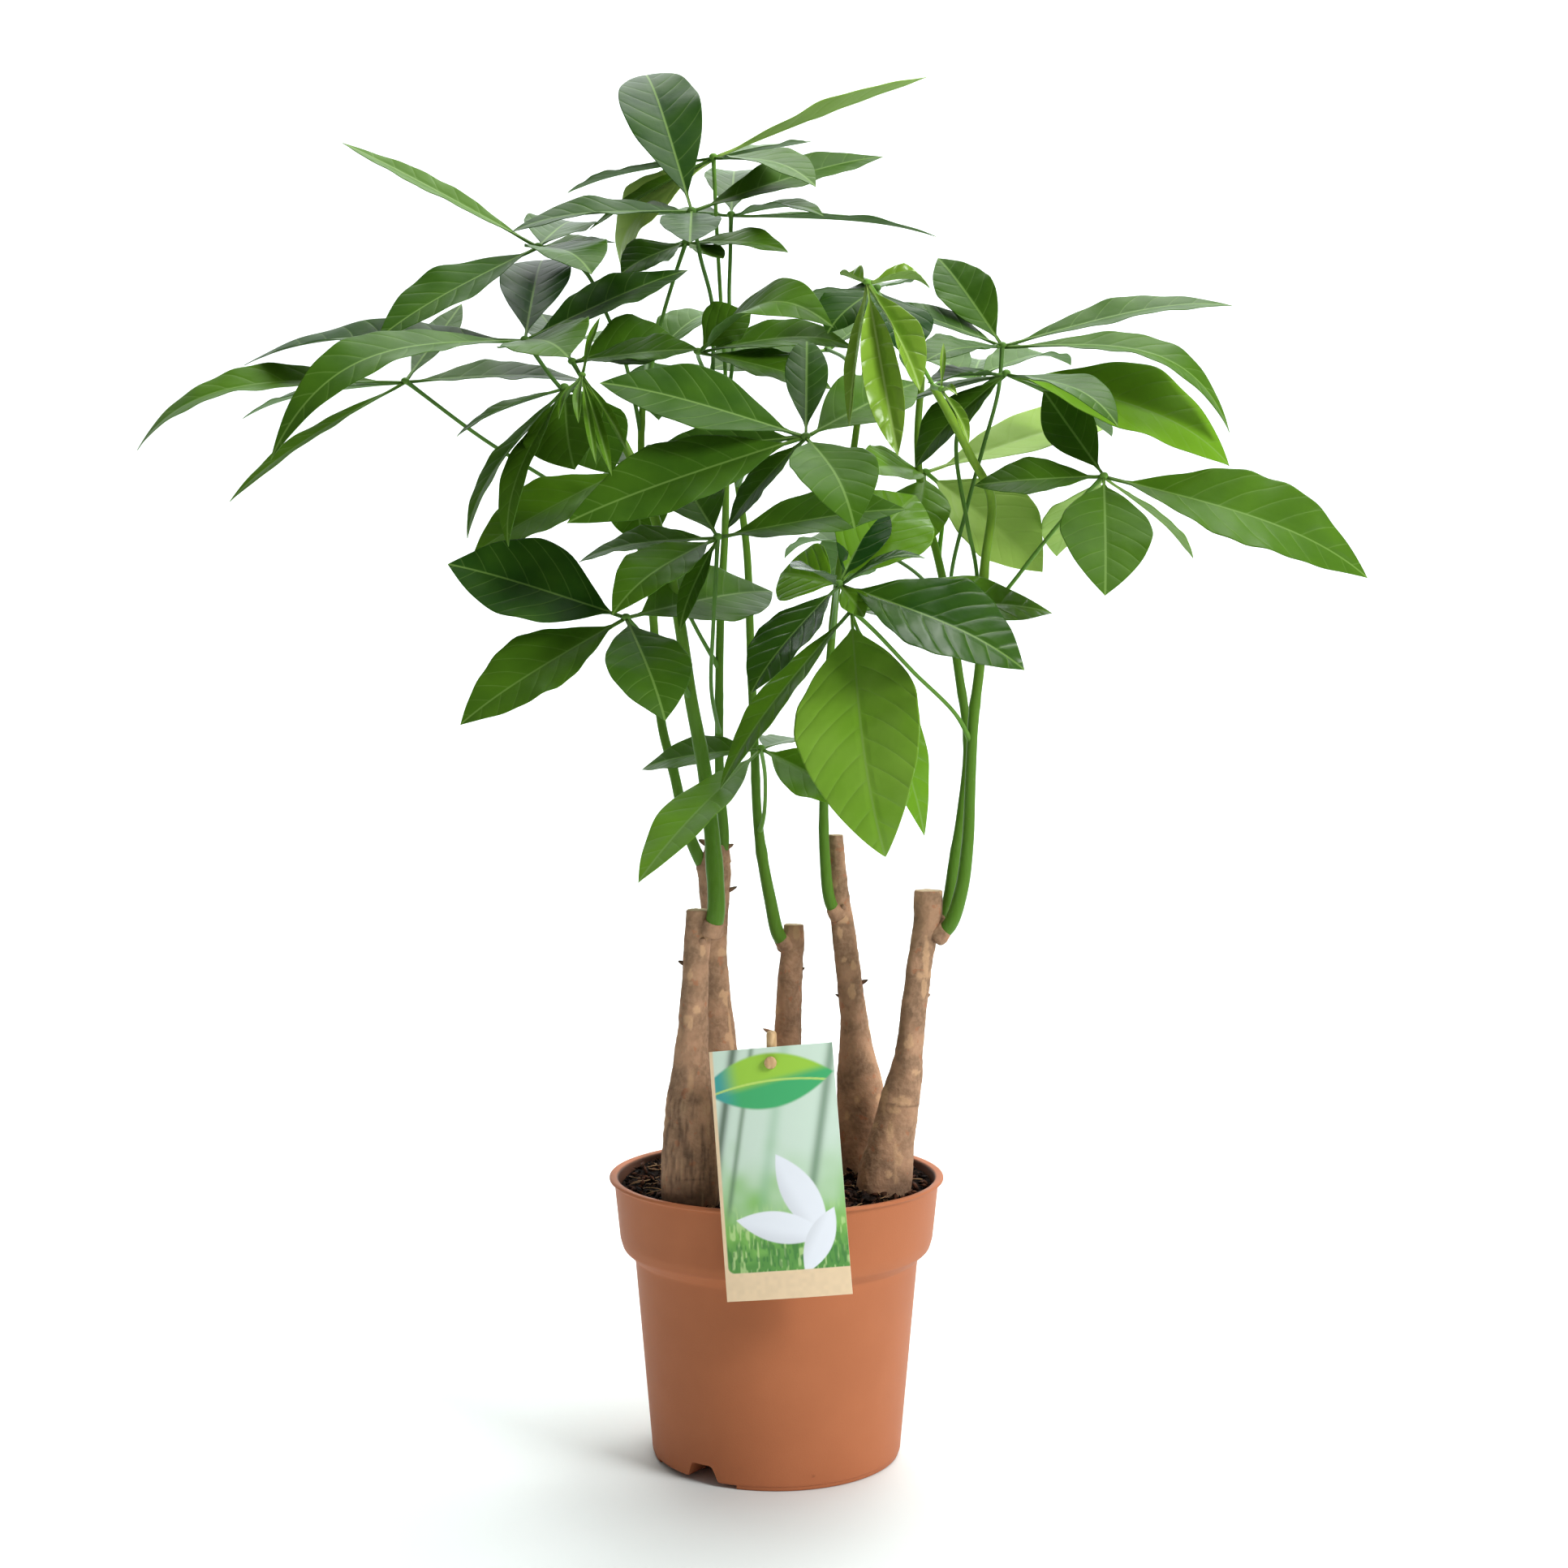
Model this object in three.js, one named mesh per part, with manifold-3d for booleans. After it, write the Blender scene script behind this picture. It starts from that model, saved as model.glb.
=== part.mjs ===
// Potted money tree: five cut trunks in a terracotta-coloured nursery pot, with green shoots,
// hand-shaped leaves on long stalks, and a printed card on a wooden stick.
// Millimetres, +Z up. The origin is the middle of the pot's underside, the viewer stands at -Y.
import * as THREE from 'three';
import { mergeVertices } from 'three/addons/utils/BufferGeometryUtils.js';
import Module from 'manifold-3d';

const wasm = await Module();
wasm.setup();

// ---------------------------------------------------------------- driving dimensions
const GAP = 0.35;                 // clearance between pieces that touch

const POT_HEIGHT = 143.8;
const POT_RIM_RADIUS = 86;
const POT_RIM_DEPTH = 2.4;        // the thin lip at the top of the collar
const RIM_BEVEL = 0.6;
const COLLAR_TOP_RADIUS = 83.5;
const COLLAR_FOOT_RADIUS = 80.5;
const COLLAR_FOOT_HEIGHT = 112.5;
const COLLAR_TURN = [1.5, 5.1];   // how far in and below its foot the collar turns into the shoulder
const WALL_TOP_RADIUS = 72.9;
const WALL_TOP_HEIGHT = 102;
const WALL_FOOT_RADIUS = 64.3;
const WALL_FOOT_HEIGHT = 5.5;
const FOOT_RADIUS = 63.5;
const POT_WALL = 2;
const POT_SIDES = 24;
const BASE_RECESS = 2.5;          // the underside is hollow between the foot ring and the centre pad
const FOOT_RING_INNER = 51;
const CENTRE_PAD_RADIUS = 15;
const FOOT_RING_HEIGHT = 2.2;
const NOTCH_FOOT_WIDTH = 21.6;
const NOTCH_TOP_WIDTH = 12.6;
const NOTCH_HEIGHT = 10;
const NOTCH_DIRECTIONS = [-125, 55];
const POCKET_START = 20;          // a pocket behind each notch keeps the soil out of it
const POCKET_WIDTH = 24.8;
const RING_GAP = [-35, 17];       // the foot ring is cut away about each notch, in degrees from it
const DRAIN_HOLES = 6;
const DRAIN_HOLE_RADIUS = 4;
const DRAIN_HOLE_RING = 34;

const SOIL_TOP = 136.5;
const SOIL_CROWN = 2.5;

const CARD_WIDTH = 60;
const CARD_LENGTH = 118;
const CARD_THICKNESS = 0.8;
const CARD_CURL = 2.2;
const STICK_RADIUS = 2.5;
const PEG_RADIUS = 3;
const PEG_SHAFT_RADIUS = 1.2;
const PEG_SHAFT_LENGTH = 9;

const BLADE_THICKNESS = 0.8;
const BLADE_STATIONS = [0, 0.1, 0.42, 0.7, 1];
const SHORT_BLADE = 62;           // a leaflet up to this long is cut from fewer stations
const SHORT_BLADE_STATIONS = [0, 0.12, 0.55, 1];
const BLADE_START = 0.08;         // up to this share of its length a leaflet is a short stalk
const BLADE_WIDEST = 0.56;        // where a leaflet is widest, as a share of its length
const BLADE_TIP_POWER = 1;
const BLADE_FOLD = 12;            // degrees that each half of a blade is raised from flat
const YOUNG_FOLD = 48;
const NECK_HALF_WIDTH = 0.8;
const TIP_HALF_WIDTH = 0.5;
const HUB_RADIUS = 4.4;
const ROOT_OFFSET = 1.4;          // a leaflet starts this far from the middle of its hub
const STALK_RADIUS = 1.15;
const STALK_SIDES = 4;
const SHOOT_SIDES = 5;
const SHOOT_STEPS = 11;
const TRUNK_SIDES = 8;

// Plants are laid out as they are seen from one eye point. A point [x, y, z] lies at depth y on
// the sight line that crosses the plane of the pot's axis at x, z.
const EYE = new THREE.Vector3(0, -1116, 387);

function seen([x, y, z]) {
  const reach = (y - EYE.y) / -EYE.y;
  return new THREE.Vector3(x * reach, y, EYE.z + (z - EYE.z) * reach);
}

// ---------------------------------------------------------------- trunks and shoots
// A trunk's stations, from its foot in the soil to its cut top, are [x, z, radius] at one depth.
// Its knobs are leaf scars and dead buds: [height, direction in degrees, length, radius].
const TRUNKS = {
  trunk_1: {
    depth: -46,
    stations: [[-41, 72, 4], [-42, 104, 8], [-45, 131, 14], [-44.6, 160, 13.2], [-44, 184, 12.2],
      [-43.8, 198, 8.8], [-43.4, 214, 7.7], [-42.4, 235, 7], [-41.6, 256, 6.5], [-40.2, 272, 6.3],
      [-40, 279.5, 6]],
    knobs: [[250, 180, 2.5, 1.6], [262, -60, 2.5, 2.6]],
  },
  trunk_2: {
    depth: 18,
    stations: [[-27, 66, 5], [-27, 98, 10], [-27, 130, 15], [-27.5, 165, 14.6], [-28.5, 190, 12.5],
      [-30, 212, 9.6], [-31.5, 236, 7.9], [-32.6, 260, 7], [-32.2, 282, 7.2], [-32.2, 302, 8.4],
      [-30.3, 313, 6.3]],
    knobs: [[287, -10, 5, 1.5], [312, 175, 4, 2], [310, -20, 4, 1.8]],
  },
  trunk_3: {
    depth: 38,
    stations: [[5, 68, 4], [5.5, 98, 9], [6, 126, 12.5], [6, 156, 12], [6, 180, 9.4], [6, 204, 7],
      [6.5, 230, 6.7], [7.2, 250, 6.5], [8, 262, 6.4], [9, 272, 4.8]],
    knobs: [[213, 188, 8, 1.8], [247, 0, 1.8, 1.6]],
  },
  trunk_4: {
    depth: 22,
    stations: [[46, 68, 5], [46, 98, 10], [46, 128, 13], [45, 152, 13], [44, 172, 12.9],
      [43.6, 190, 12], [41.6, 203, 9.8], [39.8, 223, 7.2], [37, 245, 6.5], [34.4, 270, 6],
      [32.4, 286, 5.6], [31.8, 300, 4.3], [30.4, 318, 3.8]],
    knobs: [[240, -5, 4, 1.5], [233, 180, 2.5, 1.2], [280, -80, 2, 2.4]],
  },
  trunk_5: {
    depth: -16,
    stations: [[54, 76, 5], [54, 106, 9.5], [54.5, 133, 13.6], [57, 150, 13.2], [60.5, 165, 12],
      [64, 181, 10], [67, 197, 8.1], [69, 214, 6.8], [70.6, 230, 6.4], [73, 250, 6.2],
      [76, 264, 7], [78, 276, 7.3], [78.4, 289.5, 6.7]],
    knobs: [[233, 0, 2.5, 1.8], [268, -15, 8, 4.4]],
  },
};

// A shoot grows out of its trunk and climbs through its points [x, y, z]; its radii are at the
// root, a quarter of the way up, and the tip.
const SHOOTS = {
  shoot_1: {
    trunk: 'trunk_1', radii: [4.6, 3.6, 1.9],
    points: [[-34, -48, 268], [-31.2, -52, 277], [-32, -49, 305], [-36.9, -42, 351],
      [-43.9, -44, 389], [-49.3, -48, 426], [-55, -49, 455], [-69, -44, 500], [-86, -45, 532],
      [-98, -48, 549]],
  },
  shoot_2a: {
    trunk: 'trunk_2', radii: [3.4, 2.5, 1.7],
    points: [[-35, 18, 298], [-40, 16, 307], [-46, 16, 322], [-52.7, 18, 351], [-58.9, 22, 376],
      [-63, 28, 430], [-67, 30, 480], [-69, 32, 520], [-67, 32, 552]],
  },
  shoot_2b: {
    trunk: 'trunk_2', radii: [3, 2.3, 1.6],
    points: [[-28, 17, 304], [-27, 15, 317], [-29, 14, 345], [-29.4, 12, 376], [-28.6, 10, 430],
      [-26, 8, 480], [-26, 6, 515], [-26, 4, 548]],
  },
  shoot_3: {
    trunk: 'trunk_3', radii: [3.8, 2.5, 1.6],
    points: [[6, 37, 261], [1, 32, 267], [-3, 31, 284], [-7.6, 32, 309], [-9.9, 33, 330],
      [-11.1, 32, 360], [-13.2, 30, 413], [-14.8, 28, 459], [-17.3, 27, 482], [-23, 26, 515],
      [-34, 24, 556]],
  },
  shoot_4: {
    trunk: 'trunk_4', radii: [3.3, 2.3, 1.7],
    points: [[32, 20, 277], [27.6, 15, 284], [24.8, 15, 308], [24.3, 17, 335], [26, 20, 385],
      [29, 22, 428], [34, 24, 470], [40, 24, 520], [46, 22, 560]],
  },
  shoot_5a: {
    trunk: 'trunk_5', radii: [3.4, 2.5, 1.8],
    points: [[82, -13, 270], [87.5, -8, 281], [91.2, -4, 304], [95.1, 0, 330], [98, 4, 366],
      [93.5, 8, 400], [88.5, 10, 432], [82, 12, 462], [74.7, 14, 488], [72, 18, 520],
      [74, 22, 552]],
  },
  shoot_5b: {
    trunk: 'trunk_5', radii: [3.9, 2.8, 2],
    points: [[82, -18, 266], [89, -22, 272], [95, -22, 290], [98.2, -20, 315], [99.6, -20, 351],
      [101.1, -20, 380], [104, -20, 405], [106.3, -20, 455], [109.6, -22, 490], [99, -36, 512],
      [88, -46, 533], [80, -52, 547]],
  },
};

// ---------------------------------------------------------------- leaves
// Each leaf leaves its shoot at a height, its stalk runs through points to the hub, and its
// leaflets spread from there. A leaflet is [x, y, z of its tip, width, tilt, turn, arch, tip power,
// widest]: tilt is how far its upper side leans from straight up towards the viewer, turn swings
// that to the right, both in degrees, and arch is how far its midrib bows out of the straight line.
// The last two are given where they aren't the usual ones: a low tip power makes a round tip.
const LEAVES = {
  leaf_01: {
    shoot: 'shoot_2b', from: 520, stalk: [[-26, -4, 552], [-28, 12, 585], [-30, 18, 620]],
    hub: [-32, 10, 663],
    leaflets: [[76, 40, 703, 30, -4, 0, 1], [20, -60, 648, 34, 27, 0, 6], [18, 90, 671, 26, 6, 0, 0],
      [-106, 70, 645, 28, 22, 0, 3], [-78, 52, 604, 40, 62, -40, 14],
      [-95, 30, 626.5, 16, 34, 0, 2]],
  },
  leaf_02: {
    shoot: 'shoot_2b', from: 506, stalk: [[-32, 2, 545], [-32.5, 6, 587], [-39, -16, 614]],
    hub: [-43, -30, 636],
    leaflets: [[-66, 62, 704, 42, 60, 0, 8, 0.5, 0.64], [-135, -30, 625, 36, 26, 0, 5],
      [-97, 8, 634, 28, 22, 0, 1], [-44, -105, 620, 30, 16, 0, 1], [54, 0, 663, 34, 38, 0, 3]],
  },
  leaf_03: {
    shoot: 'shoot_2b', from: 534, stalk: [[-22, 14, 565], [-24, 20, 590], [-23.5, 24, 612]],
    hub: [-23, 28, 634],
    leaflets: [[-21, 112, 655, 32, 46, 0, 6], [24, -5, 633, 28, 19, 0, 5],
      [81, 50, 623, 26, 14, 0, 4], [-72, 94, 632, 28, 16, 0, 2]],
  },
  leaf_04: {
    shoot: 'shoot_2a', from: 545, stalk: [[-61, 28, 568], [-58, 24, 582], [-52, 16, 602]],
    hub: [-46, 8, 620],
    leaflets: [[-79, -8, 604, 32, 34, 0, 2], [6, -10, 615, 32, 28, 0, 3],
      [-27, -14, 612, 18, 20, 0, 0], [-70, 60, 615, 28, 16, 0, 0]],
  },
  leaf_05: {
    shoot: 'shoot_2a', from: 528, stalk: [[-78, 24, 563], [-87, 24, 585], [-97, 23, 605]],
    hub: [-121, -12, 618],
    leaflets: [[-220, -2, 670, 20, 26, 0, 1], [-203, -62, 571, 40, 46, -20, 3],
      [-102, 60, 630, 38, 50, 0, 3], [-94, -85, 604, 40, 26, 0, 5], [-82, -2, 620, 22, 22, 0, 1]],
  },
  leaf_06: {
    shoot: 'shoot_1', from: 525, stalk: [[-100, -50, 537], [-113, -48, 550]],
    hub: [-128, -46, 571],
    leaflets: [[-119, 40, 611, 37, 64, 0, 4, 0.5, 0.64], [-271, 20, 558, 40, 24, 0, 9],
      [-258, -132, 510, 34, 36, 0, 27], [-45, -14, 606, 36, 34, 0, 2],
      [-106, -125, 562, 46, 22, -60, 4]],
  },
  leaf_07: {
    shoot: 'shoot_2a', from: 455, stalk: [[-76, 28, 474], [-115, 20, 499], [-150, 12, 521]],
    hub: [-189, 6, 550],
    leaflets: [[-326, -4, 515, 38, 28, 0, 19], [-279, -50, 489, 18, 12, 0, 4],
      [-272, 50, 531, 32, 20, 0, 5], [-98, 24, 550, 38, 24, 0, 3], [-160, 84, 589, 20, 48, 0, 0]],
  },
  leaf_08: {
    shoot: 'shoot_5b', from: 428, stalk: [[121, -24, 448], [135, -28, 466], [150, -32, 484]],
    hub: [167, -36, 502],
    leaflets: [[101, -34, 497, 29, 42, 0, 1], [136, -6, 545, 26, 56, -30, 0],
      [302, -60, 450, 55, 50, 15, 10], [168, -105, 441, 45, 55, 0, 3], [213, 30, 460, 20, 32, 0, 3],
      [143, 50, 461, 34, 45, 0, 3]],
  },
  leaf_09: {
    shoot: 'shoot_5a', from: 418, stalk: [[89, 2, 448], [97, -9, 485], [105, -10, 515],
      [113, -5, 545]],
    hub: [115, -2, 568],
    leaflets: [[82, 44, 612, 30, 56, -10, 3], [52, 22, 590, 28, 24, 0, 1],
      [76, -42, 560, 36, 22, 0, 3], [232, 10, 588, 32, 28, 0, 6], [231, -36, 524, 32, 28, 0, 24]],
  },
  leaf_10: {
    shoot: 'shoot_5b', from: 416, stalk: [[102, -14, 455], [97, -18, 480], [92, -19, 522],
      [103, -18, 545]],
    hub: [117, -20, 554],
    leaflets: [[174, -88, 527, 32, 14, 0, 8], [77, -34, 549, 32, 14, 0, 2],
      [231, -30, 507, 54, 44, 0, 12], [171, 60, 522, 36, 36, 0, 3], [71, -26, 506, 36, 60, -50, 4],
      [60, -8, 537, 22, 16, 0, 1]],
  },
  leaf_11: {
    shoot: 'shoot_5b', from: 520, stalk: [[74, -56, 558], [62, -84, 578]],
    hub: [46, -104, 600], young: true,
    leaflets: [[37, -122, 527, 10, 80, -50, 1], [62, -142, 512, 24, 85, -10, 3],
      [73, -128, 545, 22, 75, 30, 3], [34, -86, 604, 14, 40, 0, 0], [78, -96, 597, 14, 30, 0, 4]],
  },
  leaf_12: {
    shoot: 'shoot_3', from: 500, stalk: [[-12, -20, 512], [2, -66, 520]],
    hub: [15, -110, 522],
    leaflets: [[-90, -112, 549, 42, 46, 0, 3], [-107, -128, 478, 42, 52, 0, 3],
      [15.5, -52, 570, 21, 64, 0, 3, 0.6], [40, -172, 475, 40, 62, 10, 8],
      [72, -66, 549, 38, 46, 0, 2], [-25, -98, 475, 26, 45, -40, 2], [-72, -72, 510, 34, 40, 0, 2]],
  },
  leaf_13: {
    shoot: 'shoot_2b', from: 370, stalk: [[-33.4, -30, 394], [-32.4, -67, 424], [-31, -80, 450]],
    hub: [-30, -87, 471],
    leaflets: [[-101, -72, 458, 30, 26, 0, 4], [-84, -132, 431, 34, 30, 0, 6],
      [66, -110, 485, 44, 36, 0, 2], [-52, -34, 503, 32, 55, 0, 3],
      [-49.4, -94, 422.8, 14, 50, -30, 3]],
  },
  leaf_14: {
    shoot: 'shoot_1', from: 388, stalk: [[-52, -60, 403], [-62, -70, 414]],
    hub: [-77, -80, 430],
    leaflets: [[-168, -84, 457, 54, 50, 0, 2], [-162, -112, 375, 44, 52, -20, 3],
      [-57, -152, 377, 40, 60, 10, 4, 1, 0.6], [-2, -6, 443, 48, 52, 0, 3]],
  },
  leaf_15: {
    shoot: 'shoot_4', from: 420, stalk: [[30, 0, 436], [31, -40, 446]],
    hub: [32, -80, 447],
    leaflets: [[127, -112, 403, 54, 50, 15, 6], [-13, -108, 391, 40, 50, -45, 3],
      [54, -46, 488, 26, 55, 0, 3], [71, -40, 492, 52, 58, 0, 3], [76, -94, 460, 16, 20, 0, 5],
      [8.4, -132, 455, 17, 40, 0, 2, 0.6], [2, -50, 452, 36, 70, 0, 2],
      [45, -92, 430, 14, 62, 0, 1]],
  },
  leaf_16: {
    shoot: 'shoot_5b', from: 366, stalk: [[92, -26, 380], [70, -44, 402], [50, -60, 423]],
    hub: [38, -70, 434],
    leaflets: [[56, -122, 307, 62, 75, -20, 12, 0.9, 0.5], [-29, -104, 342, 22, 50, -40, 5],
      [60, -40, 432, 26, 45, 0, 1], [76, -60, 318, 28, 70, 30, 4], [141, -34, 432, 36, 42, 0, 5]],
  },
  leaf_17: {
    shoot: 'shoot_3', from: 318, stalk: [[-6.5, 22, 328], [-5.8, 0, 348]],
    hub: [-8, -24, 363],
    leaflets: [[-71, -138, 294, 32, 45, -25, 3], [-69, 0, 352, 32, 30, 0, 3],
      [42, -52, 335, 36, 45, 0, 2], [14, 56, 368, 26, 10, 0, 1]],
  },
  leaf_18: {
    shoot: 'shoot_5a', from: 460, stalk: [[85, 20, 482], [84, 21, 496]],
    hub: [76, 22, 504],
    leaflets: [[136, 10, 453, 56, 56, 20, 3], [184, 100, 537, 38, 40, 0, 2],
      [44, -22, 504, 34, 52, 0, 3], [70, -26, 462, 32, 62, 0, 3]],
  },
  leaf_19: {
    shoot: 'shoot_1', from: 534, stalk: [[-103, -52, 545]],
    hub: [-108, -54, 547],
    leaflets: [[-163, -62, 522, 18, 14, 0, 3], [-158, -78, 470, 24, 50, -60, 7],
      [-137, -96, 466, 22, 55, -50, 8], [-103, -86, 505, 44, 60, -30, 3],
      [-84, -60, 503, 38, 65, 0, 2]],
  },
  leaf_20: {
    shoot: 'shoot_1', from: 522, stalk: [[-97, -30, 548]],
    hub: [-104, -20, 560],
    leaflets: [[-46, -4, 566, 42, 46, 0, 6], [-40, -54, 566, 32, 34, 0, 1],
      [-120, 50, 584, 30, 30, 0, 1]],
  },
  leaf_21: {
    shoot: 'shoot_2b', from: 404, stalk: [[-42, 2, 426], [-60, -4, 465]],
    hub: [-74, -12, 507],
    leaflets: [[-155, -40, 462, 46, 42, -20, 2], [-68, -22, 466, 32, 62, 0, 2],
      [-34, 60, 514, 30, 24, 0, 2], [-106, 44, 512, 30, 26, 0, 2]],
  },
  leaf_22: {
    shoot: 'shoot_3', from: 545, stalk: [[-39, 4, 560]],
    hub: [-40, -20, 565],
    leaflets: [[29, -80, 577, 42, 42, 0, 18], [-13, -20, 584, 34, 46, 0, 3],
      [40, -14, 566, 34, 32, 0, 7], [28, -48, 546, 34, 30, 0, 2]],
  },
  leaf_23: {
    shoot: 'shoot_4', from: 550, stalk: [[49, 0, 580]],
    hub: [51, -22, 597],
    leaflets: [[66, -60, 562, 38, 60, 25, 4], [26, -46, 574, 32, 52, -20, 3],
      [56, 62, 598, 34, 30, 0, 2], [20, 40, 590, 32, 26, 0, 2]],
  },
  leaf_24: {
    shoot: 'shoot_2a', from: 548, stalk: [[-66, 70, 560]],
    hub: [-64, 110, 562],
    leaflets: [[-112, 160, 566, 42, 14, 0, 8], [-26, 150, 582, 40, 14, 0, 8],
      [-70, 190, 570, 44, 10, 0, 10], [-60, 150, 530, 36, 70, 180, 8]],
  },
  leaf_25: {
    shoot: 'shoot_4', from: 545, stalk: [[36, 70, 560]],
    hub: [26, 112, 566],
    leaflets: [[-34, 44, 556, 44, 46, 0, 2], [66, 165, 580, 42, 14, 0, 8],
      [24, 196, 568, 44, 10, 0, 10]],
  },
  leaf_26: {
    shoot: 'shoot_5a', from: 545, stalk: [[88, 66, 552]],
    hub: [100, 104, 552],
    leaflets: [[150, 150, 558, 42, 14, 0, 8], [66, 158, 556, 42, 14, 0, 8],
      [106, 186, 552, 44, 10, 0, 10]],
  },
  leaf_27: {
    shoot: 'shoot_2a', from: 470, stalk: [[-76, 70, 480]],
    hub: [-92, 104, 486],
    leaflets: [[-136, 140, 480, 42, 14, 0, 8], [-54, 160, 500, 42, 14, 0, 8],
      [-100, 188, 480, 44, 10, 0, 10], [-120, 60, 478, 34, 20, 0, 6]],
  },
  leaf_28: {
    shoot: 'shoot_5a', from: 425, stalk: [[74, 60, 450]],
    hub: [50, 104, 466],
    leaflets: [[4, 130, 460, 42, 14, 0, 8], [72, 150, 466, 42, 14, 0, 8],
      [40, 190, 470, 44, 10, 0, 10], [20, 170, 446, 36, 70, 180, 8]],
  },
  young_leaf_1: {
    shoot: 'shoot_1', from: 552, stalk: [], hub: [-99, -76, 553], young: true,
    leaflets: [[-111, -112, 531, 5, 80, -30, 2], [-101, -124, 529, 6, 80, -10, 2],
      [-92, -126, 508, 6, 80, 0, 2], [-84, -124, 502, 7, 80, 10, 2], [-76, -114, 514, 6, 80, 20, 2],
      [-90, -80, 582, 5, 40, 0, 1]],
  },
  young_leaf_2: {
    shoot: 'shoot_5b', from: 540, stalk: [], hub: [84, -70, 546], young: true,
    leaflets: [[85, -76, 569, 4, 60, 0, 1], [98, -84, 518, 8, 80, 20, 3],
      [92, -84, 543, 5, 60, 0, 2]],
  },
};

// ---------------------------------------------------------------- colours and finishes
const finish = (color, roughness) => new THREE.MeshStandardMaterial({ color, roughness, metalness: 0 });
const TERRACOTTA = () => finish(0xb46d4f, 0.6);
const PEAT = () => finish(0x3a2a20, 0.95);
const BARK = () => finish(0x7d6450, 0.9);
const GREEN_STEM = () => finish(0x4f8a35, 0.5);
const LEAF_GREEN = () => finish(0x3c7a24, 0.4);
const YOUNG_GREEN = () => finish(0x86b530, 0.4);
const CARD_PRINT = () => finish(0xd9d6b8, 0.5);
const PALE_WOOD = () => finish(0xc99b66, 0.8);

const plant = new THREE.Group();

function addNode(name, solid, material) {
  const { vertProperties, triVerts } = solid.getMesh();
  const geometry = new THREE.BufferGeometry();
  geometry.setAttribute('position', new THREE.BufferAttribute(new Float32Array(vertProperties), 3));
  geometry.setIndex(Array.from(triVerts));
  const mesh = new THREE.Mesh(geometry, material);
  mesh.name = name;
  plant.add(mesh);
}

// A closed three.js geometry as a solid: shared corners are merged, and the flat triangles that
// a lathe leaves on its axis are dropped.
function toSolid(geometry) {
  const bare = geometry.clone();
  bare.deleteAttribute('normal');
  bare.deleteAttribute('uv');
  const merged = mergeVertices(bare, 1e-4);
  const index = merged.index.array;
  const triangles = [];
  for (let i = 0; i < index.length; i += 3) {
    const [a, b, c] = [index[i], index[i + 1], index[i + 2]];
    if (a !== b && b !== c && c !== a) triangles.push(a, b, c);
  }
  return new wasm.Manifold(new wasm.Mesh({
    numProp: 3,
    vertProperties: new Float32Array(merged.attributes.position.array),
    triVerts: new Uint32Array(triangles),
  }));
}

function polyhedron(corners, triangles) {
  const geometry = new THREE.BufferGeometry();
  geometry.setAttribute('position', new THREE.Float32BufferAttribute(corners.flatMap((p) => p.toArray()), 3));
  geometry.setIndex(triangles);
  return geometry;
}

// Rings of the same number of corners, each turning right-handed about the way on, joined into a
// closed skin with a corner in the middle of each end.
function loft(rings) {
  const sides = rings[0].length;
  const corners = rings.flat();
  const triangles = [];
  for (let ring = 0; ring < rings.length - 1; ring += 1) {
    for (let side = 0; side < sides; side += 1) {
      const next = (side + 1) % sides;
      const [a, b] = [ring * sides + side, ring * sides + next];
      triangles.push(a, b, b + sides, a, b + sides, a + sides);
    }
  }
  const middle = (ring) => ring.reduce((sum, p) => sum.add(p), new THREE.Vector3()).divideScalar(sides);
  const last = (rings.length - 1) * sides;
  const startHub = corners.push(middle(rings[0])) - 1;
  const endHub = corners.push(middle(rings.at(-1))) - 1;
  for (let side = 0; side < sides; side += 1) {
    const next = (side + 1) % sides;
    triangles.push(startHub, next, side, endHub, last + side, last + next);
  }
  return polyhedron(corners, triangles);
}

// A round stem along a curve, whose radius is a function of the share of its length.
function stem(curve, radiusAt, sides, steps) {
  const frames = curve.computeFrenetFrames(steps, false);
  const rings = [];
  for (let step = 0; step <= steps; step += 1) {
    const share = step / steps;
    const centre = curve.getPointAt(share);
    const radius = radiusAt(share);
    rings.push(Array.from({ length: sides }, (_, side) => {
      const angle = (side / sides) * 2 * Math.PI;
      return centre.clone()
        .addScaledVector(frames.normals[step], radius * Math.cos(angle))
        .addScaledVector(frames.binormals[step], radius * Math.sin(angle));
    }));
  }
  return toSolid(loft(rings));
}

// Where a stalk leaves along its shoot, a loose scrap can stay behind: only the largest part counts.
function largestPart(solid) {
  return solid.decompose().reduce((best, part) => (part.volume() > best.volume() ? part : best));
}

function lathe(profile, sides) {
  const points = profile.map(([radius, height]) => new THREE.Vector2(radius, height));
  return toSolid(new THREE.LatheGeometry(points, sides).rotateX(Math.PI / 2));
}

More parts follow.
